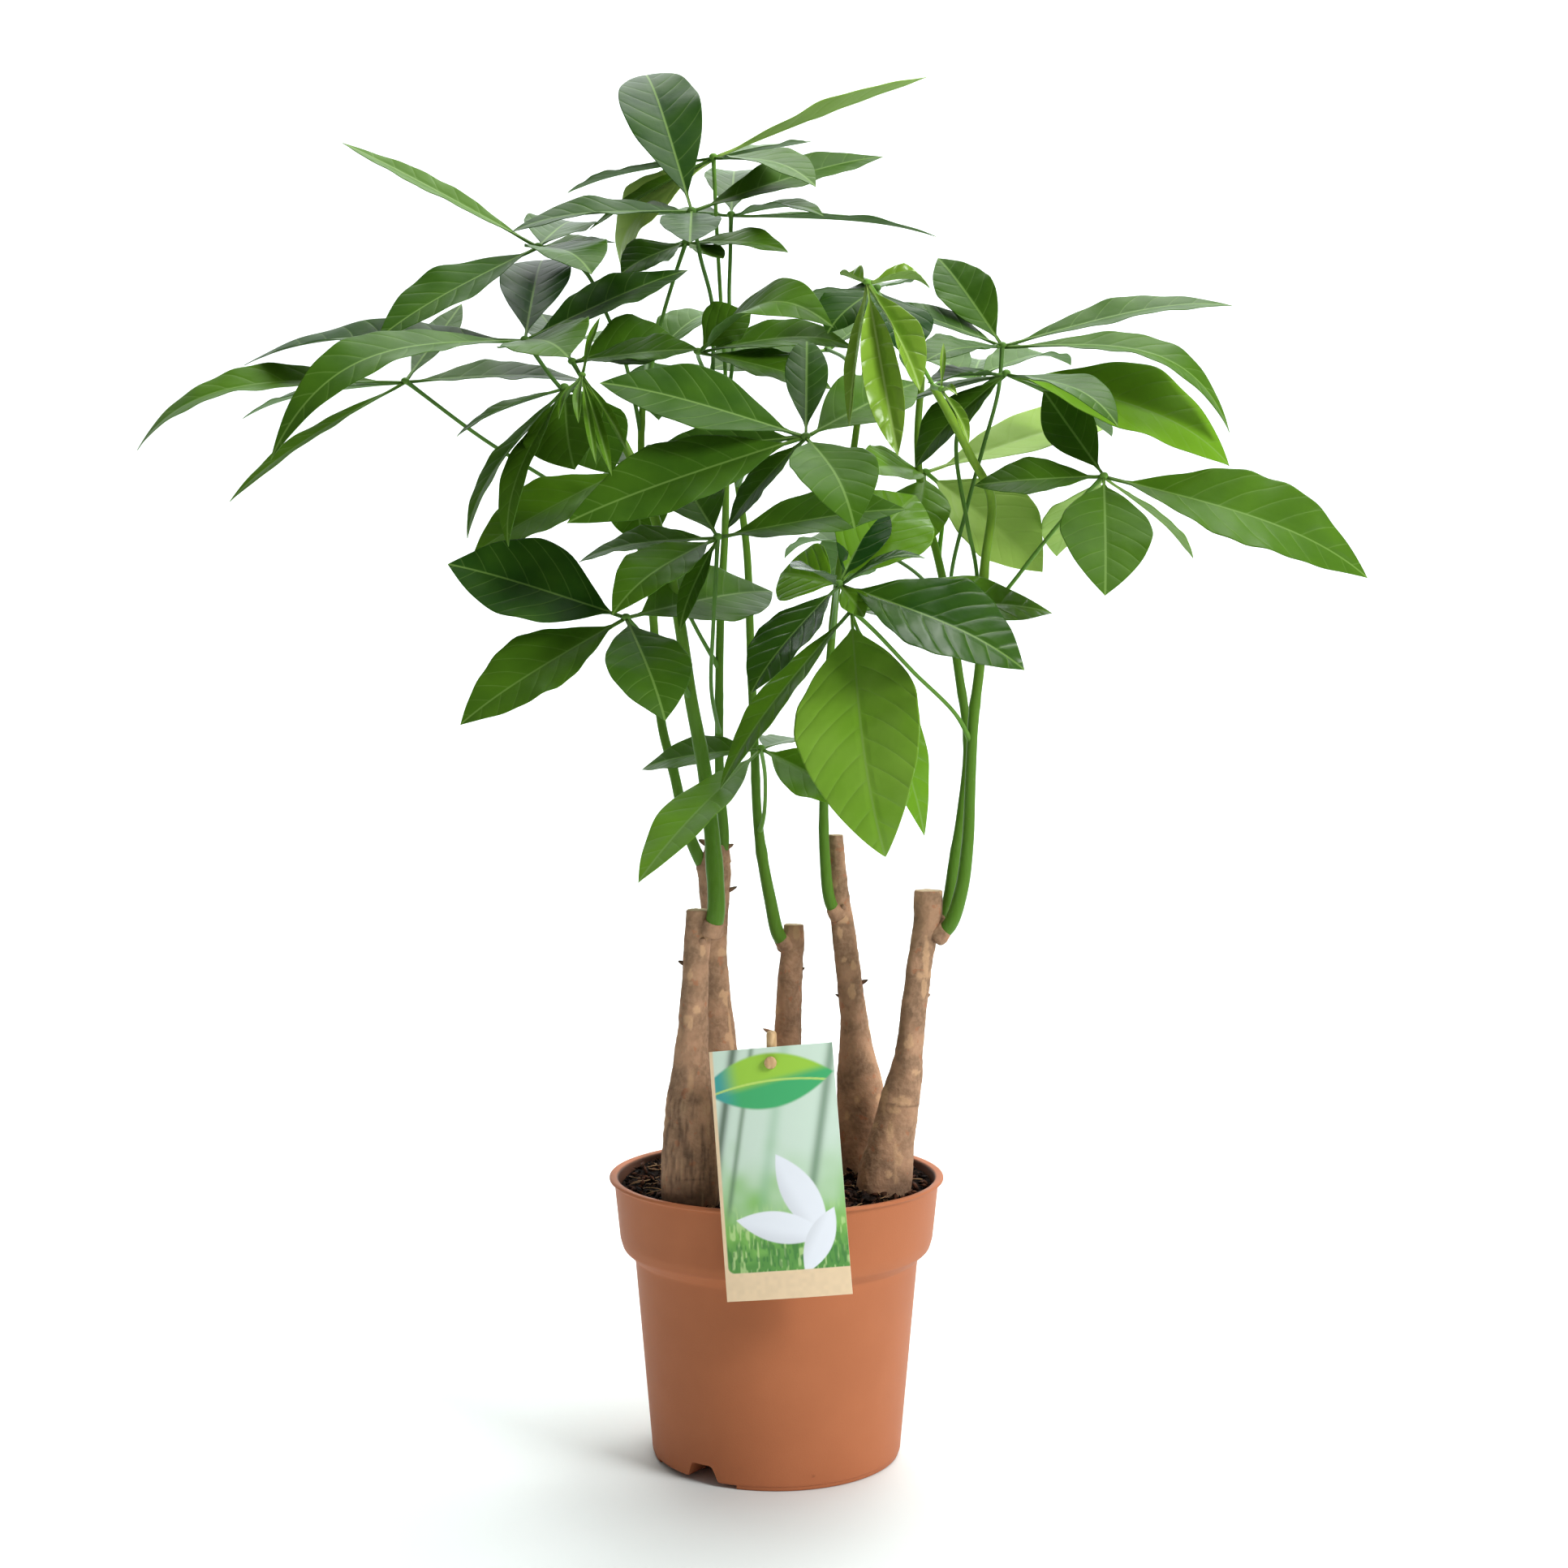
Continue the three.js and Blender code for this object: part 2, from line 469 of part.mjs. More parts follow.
// ---------------------------------------------------------------- trunks
function trunkSolid({ depth, stations, knobs }, grow = 0) {
  const centres = stations.map(([x, z]) => seen([x, depth, z]));
  const rings = centres.map((centre, i) => {
    const radius = stations[i][2] + grow;
    return Array.from({ length: TRUNK_SIDES }, (_, side) => {
      const angle = (side / TRUNK_SIDES) * 2 * Math.PI;
      const lumpy = radius * (1 + 0.04 * Math.sin(3 * angle + i) + 0.03 * Math.sin(2 * angle - 2 * i));
      return new THREE.Vector3(centre.x + lumpy * Math.cos(angle), centre.y + lumpy * Math.sin(angle), centre.z);
    });
  });
  let solid = toSolid(loft(rings));
  for (const [height, direction, length, radius] of knobs) {
    const at = stations.findIndex(([, z]) => z > height);
    const [low, high] = [stations[at - 1][1], stations[at][1]];
    const centre = centres[at - 1].clone().lerp(centres[at], (height - low) / (high - low));
    const trunkRadius = stations[at][2];
    const turn = THREE.MathUtils.degToRad(direction);
    const knob = new THREE.CylinderGeometry(radius * 0.35, radius + grow, length + trunkRadius * 0.6 + grow, 5)
      .translate(0, (length + trunkRadius * 0.6 + grow) / 2 + trunkRadius * 0.4, 0)
      .rotateZ(-Math.PI / 2 + 0.35)
      .rotateX(Math.PI / 2)
      .rotateZ(turn)
      .translate(centre.x, centre.y, centre.z);
    solid = solid.add(toSolid(knob));
  }
  return solid;
}

const trunkSleeves = {};
for (const [name, trunk] of Object.entries(TRUNKS)) {
  addNode(name, trunkSolid(trunk), BARK());
  trunkSleeves[name] = trunkSolid(trunk, GAP);
}

// ---------------------------------------------------------------- shoots
const shootCurves = {};
function shootRadius([root, low, tip]) {
  return (share) => (share < 0.25
    ? THREE.MathUtils.lerp(root, low, share / 0.25)
    : THREE.MathUtils.lerp(low, tip, (share - 0.25) / 0.75));
}

const shootSleeves = {};
for (const [name, { trunk, radii, points }] of Object.entries(SHOOTS)) {
  const curve = new THREE.CatmullRomCurve3(points.map(seen), false, 'centripetal');
  shootCurves[name] = curve;
  const radiusAt = shootRadius(radii);
  addNode(name, stem(curve, radiusAt, SHOOT_SIDES, SHOOT_STEPS).subtract(trunkSleeves[trunk]), GREEN_STEM());
  shootSleeves[name] = stem(curve, (share) => radiusAt(share) + GAP, SHOOT_SIDES, SHOOT_STEPS);
}

function pointOnShoot(name, height) {
  const points = shootCurves[name].getSpacedPoints(200);
  return points.reduce((best, p) => (Math.abs(p.z - height) < Math.abs(best.z - height) ? p : best));
}

// ---------------------------------------------------------------- leaves
// Half the width of a blade at a share of its length, for a full width of 1: it widens as a
// quarter of a sine wave, is widest a little past the middle, and draws in to a point.
function bladeShape(share, tipPower, widest) {
  const widening = THREE.MathUtils.clamp((share - BLADE_START) / (widest - BLADE_START), 0, 1);
  const narrowing = THREE.MathUtils.clamp((share - widest) / (1 - widest), 0, 1);
  return 0.5 * Math.sin((Math.PI / 2) * widening) * (1 - narrowing ** 1.7) ** tipPower;
}

// How far the midrib bows at a share of the length: it falls away faster near the tip.
function bowShape(share) {
  return 2.12 * (share - share ** 4);
}

function leafletSolid(hub, leaflet, foldDegrees) {
  const [x, y, z, width, tilt, turn, arch, tipPower = BLADE_TIP_POWER, widest = BLADE_WIDEST] = leaflet;
  const tip = seen([x, y, z]);
  const along = tip.clone().sub(hub).normalize();
  const root = hub.clone().addScaledVector(along, ROOT_OFFSET);
  const [lean, swing] = [tilt, turn].map(THREE.MathUtils.degToRad);
  const face = new THREE.Vector3(
    Math.sin(swing) * Math.sin(lean), -Math.cos(swing) * Math.sin(lean), Math.cos(lean));
  const above = face.addScaledVector(along, -face.dot(along)).normalize();
  const side = along.clone().cross(above);
  const fold = THREE.MathUtils.degToRad(foldDegrees);
  const midrib = (share) => root.clone().lerp(tip, share).addScaledVector(above, arch * bowShape(share));
  const stations = hub.distanceTo(tip) > SHORT_BLADE ? BLADE_STATIONS : SHORT_BLADE_STATIONS;
  const corners = [];
  for (const share of stations) {
    const ahead = midrib(Math.min(share + 0.02, 1)).sub(midrib(Math.max(share - 0.02, 0))).normalize();
    const upper = side.clone().cross(ahead);
    const least = share < 1 ? NECK_HALF_WIDTH : TIP_HALF_WIDTH;
    const half = Math.max(width * bladeShape(share, tipPower, widest), least);
    const across = half * Math.cos(fold);
    const raised = half * Math.sin(fold);
    const row = [-1, 0, 1].map((edge) => midrib(share)
      .addScaledVector(side, edge * across)
      .addScaledVector(upper, Math.abs(edge) * raised));
    corners.push(...row, ...row.map((p) => p.clone().addScaledVector(upper, -BLADE_THICKNESS)));
  }
  const triangles = [];
  const quad = (a, b, c, d) => triangles.push(a, b, c, a, c, d);
  const rows = stations.length;
  for (let row = 0; row < rows - 1; row += 1) {
    const here = row * 6;
    const next = here + 6;
    for (const edge of [0, 1]) {
      triangles.push(here + edge, here + edge + 1, next + edge + 1, here + edge, next + edge + 1, next + edge);
      triangles.push(here + edge + 3, next + edge + 4, here + edge + 4, here + edge + 3, next + edge + 3, next + edge + 4);
    }
    quad(here, next, next + 3, here + 3);
    quad(here + 2, here + 5, next + 5, next + 2);
  }
  const end = (rows - 1) * 6;
  for (const edge of [0, 1]) {
    quad(edge, edge + 3, edge + 4, edge + 1);
    quad(end + edge, end + edge + 1, end + edge + 4, end + edge + 3);
  }
  return toSolid(polyhedron(corners, triangles));
}

function leafSolid({ shoot, from, stalk, hub, leaflets, young }) {
  const root = pointOnShoot(shoot, from);
  const hubPoint = seen(hub);
  const path = new THREE.CatmullRomCurve3([root, ...stalk.map(seen), hubPoint], false, 'centripetal');
  const steps = Math.max(2, Math.round(path.getLength() / 28));
  const swelling = (share) => STALK_RADIUS + 0.7 * Math.exp(-share * path.getLength() / 8);
  let solid = stem(path, swelling, STALK_SIDES, steps);
  solid = solid.add(toSolid(new THREE.OctahedronGeometry(HUB_RADIUS, 0).translate(...hubPoint)));
  for (const leaflet of leaflets) {
    solid = solid.add(leafletSolid(hubPoint, leaflet, young ? YOUNG_FOLD : BLADE_FOLD));
  }
  return largestPart(solid.subtract(shootSleeves[shoot]));
}

for (const [name, leaf] of Object.entries(LEAVES)) {
  addNode(name, leafSolid(leaf), leaf.young ? YOUNG_GREEN() : LEAF_GREEN());
}

// ---------------------------------------------------------------- card on its stick
// The card leans on the front of the rim, its top to the left and back, and is turned a little to
// face left; a peg holds it to the stick.
const cardTop = seen([-3.2, -77, 208.8]);
const cardFoot = seen([6.8, -97.5, 78.5]);
const cardYaw = THREE.MathUtils.degToRad(9);
const cardDown = cardFoot.clone().sub(cardTop).normalize();
const cardLevel = new THREE.Vector3(Math.cos(cardYaw), -Math.sin(cardYaw), 0);
const cardRight = cardLevel.clone().addScaledVector(cardDown, -cardLevel.dot(cardDown)).normalize();
const cardBack = cardRight.clone().cross(cardDown);
const cardCentre = cardTop.clone().lerp(cardFoot, 0.5);

function cardGeometry() {
  const bow = (x) => CARD_CURL * (1 - (2 * x / CARD_WIDTH) ** 2);
  const columns = Array.from({ length: 7 }, (_, i) => (i / 6 - 0.5) * CARD_WIDTH);
  const outline = new THREE.Shape([
    ...columns.map((x) => new THREE.Vector2(x, -bow(x))),
    ...columns.reverse().map((x) => new THREE.Vector2(x, -bow(x) + CARD_THICKNESS)),
  ]);
  return new THREE.ExtrudeGeometry(outline, { depth: CARD_LENGTH, bevelEnabled: false })
    .translate(0, 0, -CARD_LENGTH / 2);
}

const cardFrame = new THREE.Matrix4().makeBasis(cardRight, cardBack, cardDown.clone().negate())
  .setPosition(cardCentre);
const cardSolid = toSolid(cardGeometry().applyMatrix4(cardFrame));
const pegPoint = seen([-3.1, -79.5, 201.2]);
const stickTop = seen([-2.6, -76.5, 217]);
const stickFoot = new THREE.Vector3(0, -54, 70);

function stickSolid(grow) {
  const axis = stickTop.clone().sub(stickFoot);
  const turn = new THREE.Quaternion().setFromUnitVectors(new THREE.Vector3(0, 1, 0), axis.clone().normalize());
  const middle = stickTop.clone().lerp(stickFoot, 0.5);
  const radius = STICK_RADIUS + grow;
  return toSolid(new THREE.CylinderGeometry(radius, radius, axis.length() + grow, 8)
    .applyQuaternion(turn)
    .translate(middle.x, middle.y, middle.z));
}

function pegSolid(radius, length, back) {
  return toSolid(new THREE.CylinderGeometry(radius, radius, length, 8)
    .translate(pegPoint.x, pegPoint.y + back, pegPoint.z));
}

const pegHole = pegSolid(PEG_SHAFT_RADIUS + GAP, PEG_SHAFT_LENGTH + 2 * GAP, 1.4);
const peg = pegSolid(PEG_RADIUS, 1.8, -2.6).add(pegSolid(PEG_SHAFT_RADIUS, PEG_SHAFT_LENGTH, 1.4));
addNode('label_stick', stickSolid(0).subtract(pegHole), PALE_WOOD());
addNode('label_card', cardSolid.subtract(pegHole), CARD_PRINT());
addNode('label_peg', peg, PALE_WOOD());

// ---------------------------------------------------------------- pot and soil
const floorTop = BASE_RECESS + POT_WALL;
const potProfile = [
  [0, 0], [CENTRE_PAD_RADIUS, 0], [CENTRE_PAD_RADIUS + 2, BASE_RECESS], [FOOT_RING_INNER - 2, BASE_RECESS],
  [FOOT_RING_INNER, 0], [FOOT_RADIUS - 0.3, 0], [FOOT_RADIUS, FOOT_RING_HEIGHT],
  [WALL_FOOT_RADIUS - 0.2, FOOT_RING_HEIGHT + 0.4], [WALL_FOOT_RADIUS, WALL_FOOT_HEIGHT],
  [WALL_TOP_RADIUS, WALL_TOP_HEIGHT], [COLLAR_FOOT_RADIUS - COLLAR_TURN[0], COLLAR_FOOT_HEIGHT - COLLAR_TURN[1]],
  [COLLAR_FOOT_RADIUS, COLLAR_FOOT_HEIGHT], [COLLAR_TOP_RADIUS, POT_HEIGHT - POT_RIM_DEPTH],
  [POT_RIM_RADIUS, POT_HEIGHT - POT_RIM_DEPTH + RIM_BEVEL], [POT_RIM_RADIUS, POT_HEIGHT - RIM_BEVEL],
  [POT_RIM_RADIUS - RIM_BEVEL, POT_HEIGHT], [COLLAR_TOP_RADIUS - POT_WALL, POT_HEIGHT - RIM_BEVEL],
];
const innerProfile = [
  [COLLAR_FOOT_RADIUS - POT_WALL, COLLAR_FOOT_HEIGHT + 1], [WALL_TOP_RADIUS - POT_WALL, WALL_TOP_HEIGHT + 2],
  [WALL_FOOT_RADIUS - POT_WALL, 8], [WALL_FOOT_RADIUS - POT_WALL - 4, floorTop], [0, floorTop],
];

// The block in the pot's floor that a notch is cut into: its outer face follows the wall.
function pocketSolid(direction, grow) {
  const half = POCKET_WIDTH / 2 + grow;
  const ring = (reach, height) => {
    const end = Math.asin(half / reach);
    const outer = Array.from({ length: 5 }, (_, i) => (i / 4 - 0.5) * 2 * end)
      .map((angle) => [reach * Math.cos(angle), reach * Math.sin(angle)]);
    return [[POCKET_START - grow, -half], ...outer, [POCKET_START - grow, half]]
      .map(([x, y]) => new THREE.Vector3(x, y, height));
  };
  const block = loft([ring(WALL_FOOT_RADIUS - 1.8, BASE_RECESS + 0.1), ring(WALL_FOOT_RADIUS - 0.1, NOTCH_HEIGHT + POT_WALL + grow)]);
  return toSolid(block.rotateZ(THREE.MathUtils.degToRad(direction)));
}

const extruded = (shape, depth) => new THREE.ExtrudeGeometry(shape, { depth, bevelEnabled: false, curveSegments: 6 });
let pot = lathe([...potProfile, ...innerProfile], POT_SIDES);
for (const direction of NOTCH_DIRECTIONS) {
  const [half, topHalf] = [NOTCH_FOOT_WIDTH / 2, NOTCH_TOP_WIDTH / 2];
  const outline = new THREE.Shape([[-half, -1], [half, -1], [topHalf + 0.6, NOTCH_HEIGHT - 2],
    [topHalf - 1.4, NOTCH_HEIGHT], [1.4 - topHalf, NOTCH_HEIGHT], [-topHalf - 0.6, NOTCH_HEIGHT - 2]]
    .map((point) => new THREE.Vector2(...point)));
  const notch = extruded(outline, WALL_FOOT_RADIUS + 5 - POCKET_START)
    .rotateX(Math.PI / 2)
    .rotateZ(Math.PI / 2)
    .translate(POCKET_START + POT_WALL, 0, 0)
    .rotateZ(THREE.MathUtils.degToRad(direction));
  const [start, end] = RING_GAP.map((degrees) => THREE.MathUtils.degToRad(direction + degrees));
  const ringGap = new THREE.Shape()
    .absarc(0, 0, FOOT_RADIUS + 4, start, end, false)
    .absarc(0, 0, FOOT_RING_INNER - 1, end, start, true);
  pot = pot.add(pocketSolid(direction, 0))
    .subtract(toSolid(notch))
    .subtract(toSolid(extruded(ringGap, FOOT_RING_HEIGHT + 1).translate(0, 0, -1)));
}
for (let hole = 0; hole < DRAIN_HOLES; hole += 1) {
  const angle = THREE.MathUtils.degToRad(NOTCH_DIRECTIONS[1]) + ((hole + 0.5) / DRAIN_HOLES) * 2 * Math.PI;
  const drain = new THREE.CylinderGeometry(DRAIN_HOLE_RADIUS, DRAIN_HOLE_RADIUS, 10, 6)
    .rotateX(Math.PI / 2)
    .translate(DRAIN_HOLE_RING * Math.cos(angle), DRAIN_HOLE_RING * Math.sin(angle), BASE_RECESS + 2);
  pot = pot.subtract(toSolid(drain));
}
addNode('pot', pot, TERRACOTTA());

// The soil fills the pot's inside, around the two pockets.
const soilFloor = floorTop + GAP;
const wallSlope = (COLLAR_TOP_RADIUS - COLLAR_FOOT_RADIUS) / (POT_HEIGHT - POT_RIM_DEPTH - COLLAR_FOOT_HEIGHT);
const soilRimRadius = COLLAR_FOOT_RADIUS - POT_WALL + (SOIL_TOP - COLLAR_FOOT_HEIGHT) * wallSlope;
let soil = lathe([
  [0, soilFloor], [WALL_FOOT_RADIUS - POT_WALL - 4.8, soilFloor], [WALL_FOOT_RADIUS - POT_WALL - 0.7, 8.5],
  [WALL_TOP_RADIUS - POT_WALL - 0.6, WALL_TOP_HEIGHT + 2.3],
  [COLLAR_FOOT_RADIUS - POT_WALL - 0.6, COLLAR_FOOT_HEIGHT + 1.6], [soilRimRadius - 1, SOIL_TOP],
  [40, SOIL_TOP + SOIL_CROWN], [0, SOIL_TOP + SOIL_CROWN],
], POT_SIDES);
for (const direction of NOTCH_DIRECTIONS) soil = soil.subtract(pocketSolid(direction, GAP));
for (const sleeve of Object.values(trunkSleeves)) soil = soil.subtract(sleeve);
soil = soil.subtract(stickSolid(GAP));
addNode('soil', soil, PEAT());

export default plant;
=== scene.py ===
"""The looks of a potted money tree: five cut trunks in a nursery pot, green shoots, leaves on long
stalks, and a printed card on a wooden stick. Sizes are in millimetres; +X is right, +Y is away from
the viewer, +Z is up, and the origin is the middle of the pot's underside."""

import math

import bpy
import numpy as np
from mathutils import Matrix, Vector


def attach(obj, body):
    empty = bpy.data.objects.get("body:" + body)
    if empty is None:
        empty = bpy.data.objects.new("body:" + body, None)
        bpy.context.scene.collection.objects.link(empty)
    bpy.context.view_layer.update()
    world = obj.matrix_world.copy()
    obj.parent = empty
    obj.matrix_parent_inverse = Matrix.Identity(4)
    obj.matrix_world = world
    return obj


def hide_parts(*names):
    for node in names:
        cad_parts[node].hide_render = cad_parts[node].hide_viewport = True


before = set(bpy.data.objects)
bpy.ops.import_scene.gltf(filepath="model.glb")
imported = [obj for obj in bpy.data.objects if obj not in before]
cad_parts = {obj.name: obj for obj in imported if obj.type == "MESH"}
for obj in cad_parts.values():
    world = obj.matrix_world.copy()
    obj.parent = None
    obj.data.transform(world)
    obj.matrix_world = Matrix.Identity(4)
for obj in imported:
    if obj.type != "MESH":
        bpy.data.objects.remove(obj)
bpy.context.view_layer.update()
MM = 0.001

# ------------------------------------------------------------------ view, floor and light
# The plant stands on a white studio sweep and is seen from 1.1 m away, a little above the middle.
# A soft box stands to the upper right in front, a wider one hangs overhead, a third whitens the sweep
# behind, and the room is a dim even white. The pitch is in radians, the lens in the picture's pixels.
EYE = np.array([0.0, -1116.0, 387.0])
PITCH = 0.038
FOCAL_PIXELS = 2683.3
PICTURE_PIXELS = 1932
SENSOR = 36.0
OPTICAL_CENTRE = 956.7

scene = bpy.context.scene
scene.view_settings.view_transform = "Standard"
scene.view_settings.look = "None"

camera_data = bpy.data.cameras.new("camera")
camera_data.sensor_width = SENSOR
camera_data.lens = FOCAL_PIXELS / PICTURE_PIXELS * SENSOR
camera_data.shift_x = (PICTURE_PIXELS / 2 - OPTICAL_CENTRE) / PICTURE_PIXELS
camera = bpy.data.objects.new("camera", camera_data)
camera.location = EYE * MM
camera.rotation_euler = (math.pi / 2 - PITCH, 0, 0)
scene.collection.objects.link(camera)
scene.camera = camera


def seen(points):
    """Points [x, y, z] laid out as they are seen from the eye: each is moved to depth y on the sight
    line that crosses the plane of the pot's axis at x, z."""
    points = np.asarray(points, float)
    reach = (points[..., 1:2] - EYE[1]) / -EYE[1]
    flat = points * [1, 0, 1] - EYE * [0, 0, 1]
    return flat * reach + points * [0, 1, 0] + EYE * [0, 0, 1]


def node(tree, kind, feeds=None, **settings):
    """Adds one shader node; feeds gives its inputs, by name or number, a socket or a plain value."""
    made = tree.nodes.new("ShaderNode" + kind)
    for key, value in settings.items():
        setattr(made, key, value)
    for key, value in (feeds or {}).items():
        if isinstance(value, bpy.types.NodeSocket):
            tree.links.new(value, made.inputs[key])
        else:
            made.inputs[key].default_value = value
    return made


def plain_material(name, colour, roughness, shine=0.5):
    """A new material and its Principled shader: one colour (linear RGB), roughness, specular level."""
    material = bpy.data.materials.new(name)
    material.use_nodes = True
    shader = material.node_tree.nodes["Principled BSDF"]
    shader.inputs["Base Color"].default_value = (*colour, 1)
    shader.inputs["Roughness"].default_value = roughness
    shader.inputs["Specular IOR Level"].default_value = shine
    return material, shader


STUDIO_WHITE = (0.82, 0.87, 0.86)
ROOM_BRIGHTNESS = 0.2
FLOOR_HALF_WIDTH = 2600
FLAT_ROWS = [-2600, -300, 300]
SWEEP_START = 900
SWEEP_RADIUS = 900
SWEEP_TOP = 2600
bend = np.linspace(0, math.pi / 2, 24)
sweep_x = np.array([-1, 1]) * FLOOR_HALF_WIDTH
sweep_y = np.r_[FLAT_ROWS, SWEEP_START + SWEEP_RADIUS * np.sin(bend), SWEEP_START + SWEEP_RADIUS]
sweep_z = np.r_[[0, 0, 0], SWEEP_RADIUS * (1 - np.cos(bend)), SWEEP_TOP]
sweep_points = np.stack(np.broadcast_arrays(sweep_x, sweep_y[:, None], sweep_z[:, None]), -1)
left = np.arange(len(sweep_y) - 1) * 2
sweep_faces = np.stack([left, left + 1, left + 3, left + 2], -1)
floor_mesh = bpy.data.meshes.new("floor")
floor_mesh.from_pydata((sweep_points.reshape(-1, 3) * MM).tolist(), [], sweep_faces.tolist())
floor_mesh.polygons.foreach_set("use_smooth", np.ones(len(sweep_faces), bool))
floor_mesh.materials.append(plain_material("studio_white", STUDIO_WHITE, 0.85)[0])
floor = bpy.data.objects.new("floor", floor_mesh)
scene.collection.objects.link(floor)

room = bpy.data.worlds.new("room")
room.use_nodes = True
room.node_tree.nodes["Background"].inputs["Color"].default_value = (1, 1, 1, 1)
room.node_tree.nodes["Background"].inputs["Strength"].default_value = ROOM_BRIGHTNESS
scene.world = room


def soft_box(name, place, aim, size, watts):
    """A square area light of the given side, at place, facing aim (metres)."""
    data = bpy.data.lights.new(name, "AREA")
    data.shape = "SQUARE"
    data.size = size
    data.energy = watts
    box = bpy.data.objects.new(name, data)
    box.location = place
    box.rotation_euler = (Vector(aim) - Vector(place)).to_track_quat("-Z", "Y").to_euler()
    scene.collection.objects.link(box)


soft_box("key_light", (2.1, -1.7, 2.0), (0, 0, 0.4), 1.0, 78)
soft_box("top_light", (0.7, 0.5, 3.5), (0, 0, 0.4), 2.2, 90)
soft_box("backdrop_light", (0, 1.0, 1.9), (0, 1.9, 0.5), 1.4, 30)

# ------------------------------------------------------------------ pot
# A nursery pot, injection moulded in matt terracotta-coloured plastic: a tapered wall, a stepped
# collar with a thin lip, two notches in the foot with a pocket behind each, a cut foot ring and
# six drain holes. Directions are in degrees, a ring gap is an arc either side of a notch, and a fade
# goes from where a mark is absent to where it is full: a height, and a distance from the axis.
# Above the soil the inner wall is darkened with painted shade, full inside 81.6 mm from the axis.
POT_SIDES = 160
POT_WALL = 2
POT_ROUNDING = 1.3
POT_EDGE_ANGLE = 50
FLOOR_TOP = 4.5
NOTCH_DIRECTIONS = (-125, 55)
NOTCH_REACH = 70
RING_GAP = (-35, 17)
RING_CUT_RADII = (67.5, 50)
RING_CUT_TOP = 2.2
DRAIN_COUNT = 6
DRAIN_RING = 34
DRAIN_RADIUS = 4
DRAIN_CUT_TOP = 9
POCKET_START = 20
POCKET_HALF_WIDTH = 12.4
POCKET_REACHES = (62.5, 64.2)
POCKET_FOOT = 2.6
POCKET_TOP = 12
BELOW_POT = -1
TERRACOTTA = (0.45, 0.153, 0.067)
TERRACOTTA_DULL = (0.44, 0.148, 0.064)
TERRACOTTA_WARM = (0.465, 0.158, 0.069)
SCUFF = (0.05, 0.03, 0.022)
SCUFF_FADE = (9, 2)
# Painted shade on the inner wall above the soil: its colour, its fade by distance from the axis, and the
# height it starts at.
POT_INSIDE_SHADE = (0.10, 0.045, 0.027)
INSIDE_SHADE_FADE = (82.6, 81.6)
INSIDE_SHADE_FOOT = 136


def loft(rings, finish=0, **marks):
    """A closed skin through rings of corners, each turning right-handed about the way on. Quads join
    corner k of a ring to k + 1 and to the next ring; a fan about its middle closes each end ring.
    Each mark is one value, or one a ring or corner, and an end's middle takes its ring's mean."""
    count, side_count = rings.shape[:2]
    ring, corner = np.meshgrid(np.arange(count - 1) * side_count, np.arange(side_count), indexing="ij")
    right, beyond = (corner + 1) % side_count, ring + side_count
    quads = np.stack([ring + corner, ring + right, beyond + right, beyond + corner], -1)
    k = np.arange(side_count)
    onward = (k + 1) % side_count
    last = (count - 1) * side_count
    start_hub = np.full(side_count, count * side_count)
    fans = np.concatenate([np.stack([start_hub, onward, k], -1),
                           np.stack([start_hub + 1, last + k, last + onward], -1)])

    def with_middles(values):
        """The corners' values in one row, then the means of the first and of the last ring."""
        flat = values.reshape(count * side_count, *values.shape[2:])
        return np.concatenate([flat, values[:1].mean(1), values[-1:].mean(1)])

    return {
        "points": with_middles(rings),
        "quads": quads.reshape(-1, 4),
        "fans": fans,
        "finish": finish,
        "marks": {name: with_middles(np.broadcast_to(values, rings.shape[:2] + np.shape(values)[2:]))
                  for name, values in marks.items()},
    }


def put_piece(name, skins, materials, cad_node, sharp=None):
    """Joins skins into one mesh object, in metres, that rides on the root body and stands for a CAD node,
    which it hides; the materials are its finishes. Marks become point attributes; sharp is an edge angle."""
    starts = np.cumsum([0] + [len(skin["points"]) for skin in skins])
    faces, finishes = [], []
    for skin, start in zip(skins, starts):
        for corners in (skin["quads"], skin["fans"]):
            faces += (corners + start).tolist()
            finishes += [skin["finish"]] * len(corners)
    mesh = bpy.data.meshes.new(name)
    mesh.from_pydata((np.concatenate([skin["points"] for skin in skins]) * MM).tolist(), [], faces)
    mesh.polygons.foreach_set("use_smooth", np.ones(len(faces), bool))
    mesh.polygons.foreach_set("material_index", finishes)
    for mark in sorted({key for skin in skins for key in skin["marks"]}):
        shape = next(skin["marks"][mark].shape[1:] for skin in skins if mark in skin["marks"])
        values = np.concatenate([skin["marks"].get(mark, np.zeros((len(skin["points"]), *shape)))
                                 for skin in skins])
        layer = mesh.attributes.new(mark, "FLOAT_VECTOR" if shape else "FLOAT", "POINT")
        layer.data.foreach_set("vector" if shape else "value", values.astype(np.float32).ravel())
    for material in materials:
        mesh.materials.append(material)
    if sharp is not None:
        mesh.set_sharp_from_angle(angle=math.radians(sharp))
    piece = bpy.data.objects.new(name, mesh)
    scene.collection.objects.link(piece)
    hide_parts(cad_node)
    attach(piece, "root")
    return piece


def rounded(profile, radius, steps=5, most=0.45):
    """The profile with each inner corner replaced by a short curve: a quadratic one that starts and
    ends at the given distance from the corner, or at a share (most) of a shorter edge."""
    corner = profile[1:-1]

    def towards(neighbour):
        """The point where a corner's curve meets the edge that runs to its neighbour."""
        edge = neighbour - corner
        length = np.linalg.norm(edge, axis=1, keepdims=True)
        return (corner + edge * (np.minimum(radius, most * length) / length))[:, None]

    start, end = towards(profile[:-2]), towards(profile[2:])
    t = np.linspace(0, 1, steps)[None, :, None]
    curve = (1 - t) ** 2 * start + 2 * t * (1 - t) * corner[:, None] + t**2 * end
    return np.concatenate([profile[:1], curve.reshape(-1, 2), profile[-1:]])


